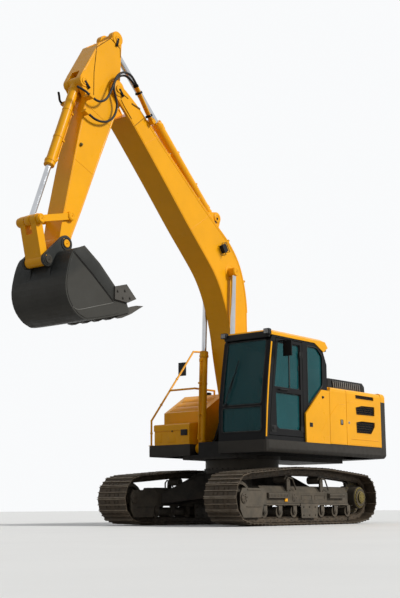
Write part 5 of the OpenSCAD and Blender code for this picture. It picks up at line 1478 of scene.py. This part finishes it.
    def lamp(self):
        """Rim, glass and guard of the lamp, which looks along the boom towards the bucket."""
        shell, glass, guard = Builder(), Builder(), Builder()
        y0, y1 = BOOM_HALF + 0.004, BOOM_HALF + 0.076
        glass.box((2.736, y0 + 0.004, 0.948), (2.746, y1 - 0.004, 1.032), 0.004, BOOM_FRAME)
        for v in (0.946, 1.026):
            shell.box((2.730, y0, v), (2.752, y1, v + 0.008), 0.002, BOOM_FRAME)
        for y in (y0, y1 - 0.008):
            shell.box((2.730, y, 0.946), (2.752, y + 0.008, 1.034), 0.002, BOOM_FRAME)
        for k in range(4):
            shell.box((2.640 + 0.022 * k, y0, 1.038), (2.648 + 0.022 * k, y1, 1.048), 0.002, BOOM_FRAME)
        shell.done("boom_lamp_rim", "plastic", "boom", "lamp_housing")
        glass.done("boom_lamp_glass", "lens", "boom")
        hoop = ((2.590, BOOM_HALF), (2.590, y1 + 0.012), (2.765, y1 + 0.012), (2.765, BOOM_HALF))
        for v in (0.925, 1.050):
            guard.tube([in_frame(BOOM_FRAME, u, y, v) for u, y in hoop], 0.006, 8)
        guard.tube([in_frame(BOOM_FRAME, 2.765, y1 + 0.012, v) for v in (0.925, 1.050)], 0.005, 8)
        guard.done("boom_lamp_guard", "dark", "boom", "dark_paint")


class EXC_OT_arm(bpy.types.Operator):
    """Adds weld beads, bosses, ribs coloured dark as painted shade, pins, pipe ends and rod eyes to the arm and its
    linkage
    """

    bl_idname = "excavator.arm"
    bl_label = "Arm trim"

    def execute(self, context):
        self.welds_and_bosses()
        self.side_fittings()
        self.pins()
        self.rod_eyes_and_rims()
        return {"FINISHED"}

    def welds_and_bosses(self):
        b = Builder()
        for y in (ARM_HALF - 0.001, -ARM_HALF + 0.001):
            for edge in (ARM_LOW, ARM_HIGH):
                seam(b, ARM_FRAME, along(curve(edge, 4), -0.020), y)
            seam(b, ARM_FRAME, ((-0.74, 0.375), (-0.46, 0.575), (0.17, 0.680)), y)
            for u, low, high in ((0.62, -0.120, 0.455), (1.55, -0.100, 0.300)):
                seam(b, ARM_FRAME, ((u, low), (u, high)), y, 0.005)
        b.done("arm_welds", "yellow", "arm", "yellow_paint")
        # Bosses round the pins: place, radius and height
        boss, ribs = Builder(), Builder()
        for s in (1, -1):
            for (u, v), r, h in ((ARM_ROD_EYE, 0.110, 0.012), (BUCKET_CYLINDER_BASE, 0.090, 0.012),
                                 (ROCKER_FOOT, 0.080, 0.004), ((ARM_LEN, 0), 0.105, 0.004)):
                c = in_frame(ARM_FRAME, u, s * ARM_HALF, v)
                boss.lathe([(-0.004, r), (h - 0.003, r), (h, r - 0.004), (h, 0.047), (-0.004, 0.047)], c,
                           c + sideways(s), 36)
            # Rib lines on the arm's head, coloured dark as painted shade
            head = ((-0.690, 0.180), (-0.700, 0.420), (-0.356, 0.610), (0.060, 0.500), (0.440, 0.350))
            for line in (head, ((-0.690, 0.180), (-0.560, 0.120))):
                seam(ribs, ARM_FRAME, line, s * ARM_HALF, 0.007)
        boss.done("arm_bosses", "yellow", "arm", "yellow_paint")
        ribs.done("arm_head_ribs_painted_shade", "groove", "arm", "yellow_paint")

    def side_fittings(self):
        """Pipes on which the outer hoses go on beside the bucket cylinder's base, and blocks along the arm."""
        b, f = Builder(), Builder()
        for s in (1, -1):
            line = ((4.098, OUTER_Y, 6.313), (4.150, 0.280, 6.345), (4.215, 0.230, 6.392), (4.262, 0.196, 6.420))
            b.tube(smooth([(x, s * y, z) for x, y, z in line], 5), HOSE_R, 12)
            y0, y1 = sorted((s * (ARM_HALF - 0.001), s * (ARM_HALF + 0.026)))
            for u, v in ((0.757, 0.405), (1.279, 0.292)):
                f.box((u - 0.022, y0, v - 0.022), (u + 0.022, y1, v + 0.022), 0.006, ARM_FRAME)
                c = in_frame(ARM_FRAME, u, s * (ARM_HALF + 0.024), v)
                f.button(c, sideways(s), 0.016, 0.012, 0.010, 0.016, 12)
        b.done("arm_side_pipes", "rubber", "arm", "hose_rubber")
        f.done("arm_side_fittings", "drive", "arm", "yellow_paint")

    def pins(self):
        pins, bars, tops = Builder(), Builder(), Builder()
        for s in (1, -1):
            for place, keeper in ((ARM_ROD_EYE, ARM_WORLD - 8), (BUCKET_CYLINDER_BASE, ARM_WORLD - 70)):
                pin_end(pins, pin_of(ARM_FRAME, place), s, ARM_HALF + 0.010, 0.056, keeper, bars)
            pin_end(pins, pin_of(ARM_FRAME, ROCKER_FOOT), s, ARM_HALF + 0.050, 0.058)
            pin_end(pins, pin_of(ARM_FRAME, (ARM_LEN, 0)), s, ARM_HALF + 0.060, 0.058)
            pin_end(tops, pin_of(ARM_FRAME, ROCKER_TOP), s, ARM_HALF + 0.059, 0.058)
        pins.done("arm_pins", "yellow", "arm", "yellow_paint")
        bars.done("arm_pin_keepers", "black", "arm", "black_paint")
        tops.done("rocker_pin_ends", "yellow", "rocker_arms", "yellow_paint")

    def rod_eyes_and_rims(self):
        """Painted eyes at the ends of two rods, and rims on the rocker arms."""
        for name, (u, v), r in (("arm_rod", ARM_ROD_EYE, 0.0915), ("bucket_rod", ROCKER_TOP, 0.0815)):
            b = Builder()
            b.lathe([(0, r - 0.001), (0.002, r), (0.099, r), (0.101, r - 0.001)], in_frame(ARM_FRAME, u, -0.0505, v),
                    in_frame(ARM_FRAME, u, 0.0505, v), 32)
            b.done(f"{name}_eye", "yellow", name, "yellow_paint")
        rims = Builder()
        for s in (1, -1):
            for u, v in (ROCKER_FOOT, ROCKER_TOP):
                c = in_frame(ARM_FRAME, u, s * (ARM_HALF + 0.048), v)
                rims.lathe([(-0.003, 0.070), (0.005, 0.070), (0.008, 0.066), (0.008, 0.050), (-0.003, 0.050)], c,
                           c + sideways(s), 32)
        rims.done("rocker_rims", "yellow", "rocker_arms", "yellow_paint")


# The bucket's back and the shapes on its sides, as u and v in its frame
BUCKET_EDGE = [(0, 0.130), (-0.070, 0.230), (-0.055, 0.440), (0.050, 0.740), (0.208, 0.905), (0.401, 0.970),
               (0.554, 0.960), (0.676, 0.905), (1.000, 0.610), (1.300, 0.300)]
LIP_PLATE = [(-0.050, 0.252), (0.000, 0.160), (0.100, 0.084), (0.420, 0.094), (0.840, 0.188), (0.930, 0.250),
             (0.930, 0.362), (0.403, 0.290)]
# Line along the lip plate's upper edge, where a black bead paints the shadow of the step between the plates
LIP_PAINTED_SHADOW = [(-0.062, 0.262), (0.403, 0.301), (0.960, 0.376)]
SIDE_WELD = [(0.330, 0.935), (0.440, 0.900), (0.659, 0.683), (0.955, 0.384)]
CUTTER_BOLTS = [(0.92, 0.20), (1.04, 0.10), (1.06, 0.22), (1.18, 0.13)]
TEETH, TOOTH_PITCH = 5, 0.235


class EXC_OT_bucket(bpy.types.Operator):
    """Adds lip plates, a painted shadow line along each lip plate, welds, cutter bolts, tooth pins, pin ends and ear
    rims to the bucket
    """

    bl_idname = "excavator.bucket"
    bl_label = "Bucket trim"

    def execute(self, context):
        self.sides()
        self.fasteners()
        self.ears()
        return {"FINISHED"}

    def sides(self):
        plates, groove, welds = Builder(), Builder(), Builder()
        edge = curve(BUCKET_EDGE, 5)[6:-3]
        for s in (1, -1):
            y = s * (BUCKET_HALF + 0.001)
            seam(plates, BUCKET_FRAME, along(edge, -0.030), y)
            y0, y1 = sorted((s * (BUCKET_HALF - 0.001), s * (BUCKET_HALF + 0.009)))
            plates.prism(LIP_PLATE, y0, y1, "Y", 0.003, BUCKET_FRAME)
            # Black bead in the window seal's rubber, painted as the shadow at the step above the lip plate
            seam(groove, BUCKET_FRAME, LIP_PAINTED_SHADOW, s * (BUCKET_HALF + 0.0015))
            seam(welds, BUCKET_FRAME, curve(SIDE_WELD, 6), y)
        plates.done("bucket_wear_parts", "bucket", "bucket", "bucket_paint")
        groove.done("bucket_lip_groove", "seal", "bucket", "black_plastic")
        welds.done("bucket_side_weld", "weld", "bucket", "bucket_paint")

    def fasteners(self):
        """Bolts of the side cutters, and the locking pins of the tooth sockets."""
        b = Builder()
        for s in (1, -1):
            for u, v in CUTTER_BOLTS:
                b.bolt(in_frame(BUCKET_FRAME, u, s * (BUCKET_HALF + 0.030), v), (0, s, 0), 0.018, 0.014)
        for i in range(TEETH):
            y = -BUCKET_HALF + 0.080 + i * TOOTH_PITCH
            for s in (1, -1):
                c = in_frame(BUCKET_FRAME, 1.300, y + s * 0.0445, 0.300)
                b.button(c, sideways(s), 0.020, 0.004, 0.014, 0.006, 14)
        b.done("bucket_fasteners", "tooth", "bucket", "tooth_steel")

    def ears(self):
        """Pin ends, rims and grease caps of the bucket's ears."""
        pins, rims, caps = Builder(), Builder(), Builder()
        for s in (1, -1):
            w = sideways(s)
            pin_end(pins, pin_of(BUCKET_FRAME, BUCKET_EAR), s, 0.236, 0.058)
            for (u, v), r in (((0, 0), 0.100), (BUCKET_EAR, 0.080)):
                c = in_frame(BUCKET_FRAME, u, s * 0.221, v)
                rims.lathe([(-0.003, r), (0.008, r), (0.011, r - 0.004), (0.011, r - 0.020), (0.006, r - 0.022),
                            (0.006, 0.066), (0.012, 0.064), (0.012, 0.050), (-0.003, 0.050)], c, c + w, 32)
                caps.button(c + Vector((r * 0.55, 0, r * 0.62)), w, 0.010, 0.008, 0.006, 0.014, 12)
        pins.done("bucket_pins", "cast", "bucket", "machined_steel")
        caps.done("bucket_grease_caps", "yellow", "bucket", "yellow_paint")
        rims.done("bucket_ear_rims", "bucket", "bucket", "bucket_paint")


# ---------------------------------------------------------------- stage


# Colours of the lights, of the background and of what the floor throws back, and half the floor's width
EVEN_LIGHT, KEY_LIGHT, BACKGROUND = (0.93, 0.96, 1.0), (1.0, 0.98, 0.94), (0.95, 0.96, 0.97)
GROUND, FLOOR_HALF = (0.24, 0.22, 0.20), 70


def shown(tree):
    """1 for rays that show the background: from the camera, or by way of gloss or glass."""
    path = tree.nodes.new("ShaderNodeLightPath")
    share = path.outputs["Is Camera Ray"]
    for kind in ("Is Glossy Ray", "Is Transmission Ray"):
        both = tree.nodes.new("ShaderNodeMath")
        both.operation = "MAXIMUM"
        tree.links.new(share, both.inputs[0])
        tree.links.new(path.outputs[kind], both.inputs[1])
        share = both.outputs[0]
    return share


class EXC_OT_stage(bpy.types.Operator):
    """Sets the camera, the pale floor and the soft studio light"""

    bl_idname = "excavator.stage"
    bl_label = "Stage"

    def execute(self, context):
        g = settings("excavator_stage")
        scene = context.scene
        scene.view_settings.view_transform = "Standard"
        cam = bpy.data.cameras.new("camera")
        cam.sensor_width = 36
        cam.lens = g.lens
        cam.clip_end = 200
        look = Vector((math.cos(g.pitch) * math.cos(g.yaw), math.cos(g.pitch) * math.sin(g.yaw), math.sin(g.pitch)))
        right = Vector((math.sin(g.yaw), -math.cos(g.yaw), 0))
        up = right.cross(look)
        side = right * math.cos(g.roll) + up * math.sin(g.roll)
        top = -right * math.sin(g.roll) + up * math.cos(g.roll)
        obj = bpy.data.objects.new("camera", cam)
        turn = Matrix((side, top, -look)).transposed()
        obj.matrix_world = Matrix.Translation(Vector(g.place)) @ turn.to_4x4()
        scene.collection.objects.link(obj)
        scene.camera = obj
        self.floor(scene, g)
        self.lights(scene, g)
        return {"FINISHED"}

    def floor(self, scene, g):
        s = Shader("floor_paint", tuple(g.floor), 0.7)
        pale = s.mix(s.ramp(s.noise(0.8, 4), 0.3, 0.7), scaled(tuple(g.floor), 0.97), tuple(g.floor))
        # The floor looks pale, and throws back as little light as bare ground
        s.link(s.mix(shown(s.tree), GROUND, pale), "Base Color")
        s.bump(s.noise(40.0, 3), 0.05, 0.002)
        bm = bmesh.new()
        bmesh.ops.create_grid(bm, x_segments=2, y_segments=2, size=FLOOR_HALF)
        mesh = bpy.data.meshes.new("floor")
        bm.to_mesh(mesh)
        bm.free()
        mesh.materials.append(s.mat)
        floor = bpy.data.objects.new("floor", mesh)
        floor.location = (0, 0, -0.001)
        scene.collection.objects.link(floor)

    def lights(self, scene, g):
        world = bpy.data.worlds.new("studio")
        scene.world = world
        world.use_nodes = True
        tree = world.node_tree
        tree.nodes.clear()
        out = tree.nodes.new("ShaderNodeOutputWorld")
        even = tree.nodes.new("ShaderNodeBackground")
        even.inputs["Color"].default_value = (*EVEN_LIGHT, 1)
        even.inputs["Strength"].default_value = g.fill
        seen = tree.nodes.new("ShaderNodeBackground")
        seen.inputs["Color"].default_value = (*BACKGROUND, 1)
        seen.inputs["Strength"].default_value = 1.0
        pick = tree.nodes.new("ShaderNodeMixShader")
        tree.links.new(shown(tree), pick.inputs[0])
        tree.links.new(even.outputs[0], pick.inputs[1])
        tree.links.new(seen.outputs[0], pick.inputs[2])
        tree.links.new(pick.outputs[0], out.inputs[0])
        sun = bpy.data.lights.new("key", "SUN")
        sun.energy = g.sun
        sun.angle = g.sun_width
        sun.color = KEY_LIGHT
        key = bpy.data.objects.new("key", sun)
        key.rotation_euler = Vector(g.sun_way).to_track_quat("Z", "Y").to_euler()
        scene.collection.objects.link(key)


# ---------------------------------------------------------------- main


OPERATORS = [EXC_OT_stage, EXC_OT_materials, EXC_OT_hoses, EXC_OT_tracks, EXC_OT_undercarriage, EXC_OT_cylinders,
             EXC_OT_bodywork, EXC_OT_cab, EXC_OT_boom, EXC_OT_arm, EXC_OT_bucket]
GROUPS = [(PaintSettings, "excavator_paint"), (StageSettings, "excavator_stage"), (TrimSettings, "excavator_trim")]


class EXC_PT_panel(bpy.types.Panel):
    """Lists the steps in the order in which they run"""

    bl_idname = "EXC_PT_panel"
    bl_label = "Excavator"
    bl_space_type = "VIEW_3D"
    bl_region_type = "UI"
    bl_category = "Excavator"

    def draw(self, context):
        for group, name in GROUPS:
            box = self.layout.box()
            for prop in group.__annotations__:
                box.prop(getattr(context.scene, name), prop)
        for op in OPERATORS:
            self.layout.operator(op.bl_idname)


def register():
    for group, name in GROUPS:
        bpy.utils.register_class(group)
        setattr(bpy.types.Scene, name, bpy.props.PointerProperty(type=group))
    for cls in OPERATORS + [EXC_PT_panel]:
        bpy.utils.register_class(cls)


def unregister():
    for cls in [EXC_PT_panel] + OPERATORS[::-1]:
        bpy.utils.unregister_class(cls)
    for group, name in GROUPS[::-1]:
        delattr(bpy.types.Scene, name)
        bpy.utils.unregister_class(group)


def main():
    register()
    for op in OPERATORS:
        group, step = op.bl_idname.split(".")
        getattr(getattr(bpy.ops, group), step)()


if __name__ == "__main__":
    main()
